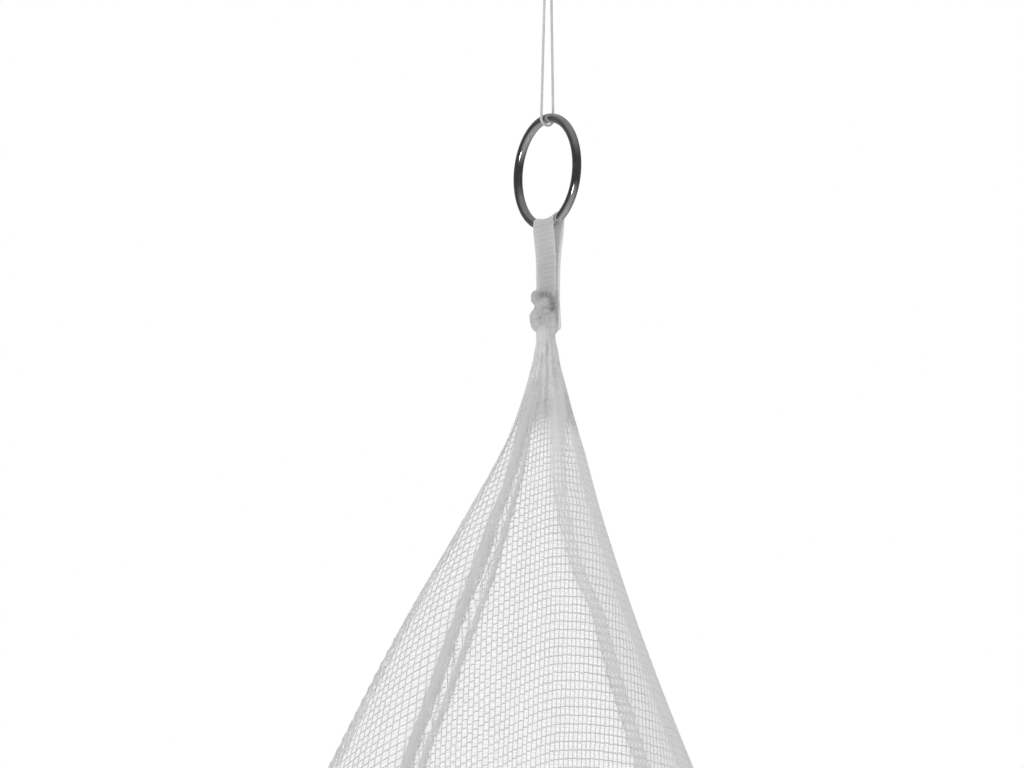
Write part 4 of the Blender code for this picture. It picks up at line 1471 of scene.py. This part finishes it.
# %% The white room
scene = bpy.context.scene
scene.view_settings.view_transform = "Standard"
scene.cycles.transparent_max_bounces = 32
world = bpy.data.worlds.new("white studio")
world.use_nodes = True
scene.world = world
sky = world.node_tree
sky.nodes.clear()
ROOM_LIGHT = 0.90
way = sky.nodes.new("ShaderNodeTexCoord")
sides = axes_of(sky, way.outputs["Generated"])
floor_glow = ranged(sky, sum_node(sky, "MULTIPLY", sides["Z"], -1.0), 0.25, 0.85, 0.07, 0.46)
roof_glow = ranged(sky, sides["Z"], 0.3, 1.0, 0.0, 0.26)
behind = ranged(sky, sides["Y"], 0.1, 0.9, 0.0, 0.14)
room = sum_node(sky, "ADD", sum_node(sky, "ADD", floor_glow, roof_glow), behind)
plain = add_node(sky, "ShaderNodeBackground", (("Color", (1, 1, 1, 1)),)).outputs[0]
soft = add_node(sky, "ShaderNodeBackground", (("Strength", ROOM_LIGHT),)).outputs[0]
mirrored = add_node(sky, "ShaderNodeBackground", (("Strength", room),)).outputs[0]
path = sky.nodes.new("ShaderNodeLightPath").outputs
lit = add_node(sky, "ShaderNodeMixShader", enumerate((path["Is Glossy Ray"], soft, mirrored))).outputs[0]
choose = add_node(sky, "ShaderNodeMixShader", enumerate((path["Is Camera Ray"], lit, plain))).outputs[0]
add_node(sky, "ShaderNodeOutputWorld", (("Surface", choose),))
print("made the world", world.name)


# %% Lamps
def soft_lamp(name, place, target, size, watts, mirrored, lighting):
    """A square lamp aimed at a point, which may be mirrored by the chrome and may light the cloth."""
    lamp = bpy.data.lights.new(name, "AREA")
    lamp.size = size
    lamp.energy = watts
    holder = bpy.data.objects.new(name, lamp)
    holder.location = place
    holder.rotation_euler = (Vector(target) - Vector(place)).to_track_quat("-Z", "Y").to_euler()
    holder.visible_glossy = mirrored
    holder.visible_diffuse = lighting
    scene.collection.objects.link(holder)


# the window light only lights, and the glint light is only seen in the chrome
soft_lamp("window light", (-2.6, -2.4, 1.3), RING_CENTRE, 1.6, 22, mirrored=False, lighting=True)
soft_lamp("glint light", (-1.28, -2.58, -1.65), RING_CENTRE, 0.7, 12, mirrored=True, lighting=False)
print("lamps:", [lamp.name for lamp in bpy.data.lights])

# %% [markdown]
# ## The floor
# The hem hangs 20 mm above a pale floor, which is only stage: it isn't part of the net, and the ring doesn't
# mirror it, because the room above already gives the chrome its pale floor.

# %% Floor
FLOOR_Z = -2.36
floor_finish, floor_tree, floor_shader = new_finish("pale floor")
floor_shader.inputs["Roughness"].default_value = 0.8
floor_colour = mixed(floor_tree, noise(floor_tree, None, 3), (0.80, 0.80, 0.80, 1), (0.86, 0.86, 0.85, 1))
floor_tree.links.new(floor_colour, floor_shader.inputs["Base Color"])
floor_data = bpy.data.meshes.new("floor")
WIDE = 9
floor_data.from_pydata([(-WIDE, -WIDE, FLOOR_Z), (WIDE, -WIDE, FLOOR_Z), (WIDE, WIDE, FLOOR_Z),
                        (-WIDE, WIDE, FLOOR_Z)], [], [(0, 1, 2, 3)])
floor_data.materials.append(floor_finish)
floor = bpy.data.objects.new("floor", floor_data)
scene.collection.objects.link(floor)
floor.visible_glossy = False
floor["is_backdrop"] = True
print("the floor lies", round((hung[-1, :, 2].min() - FLOOR_Z) / MM), "mm under the hem")

# %% [markdown]
# ## The size of the dressed model
# The box round every shown piece, the floor left out, is printed in metres. The dressed model has to stay
# in the CAD model's box, give or take what cloth may stand proud.

low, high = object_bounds()
print("visual box, in metres:", [round(v, 4) for v in (*low, *high)])
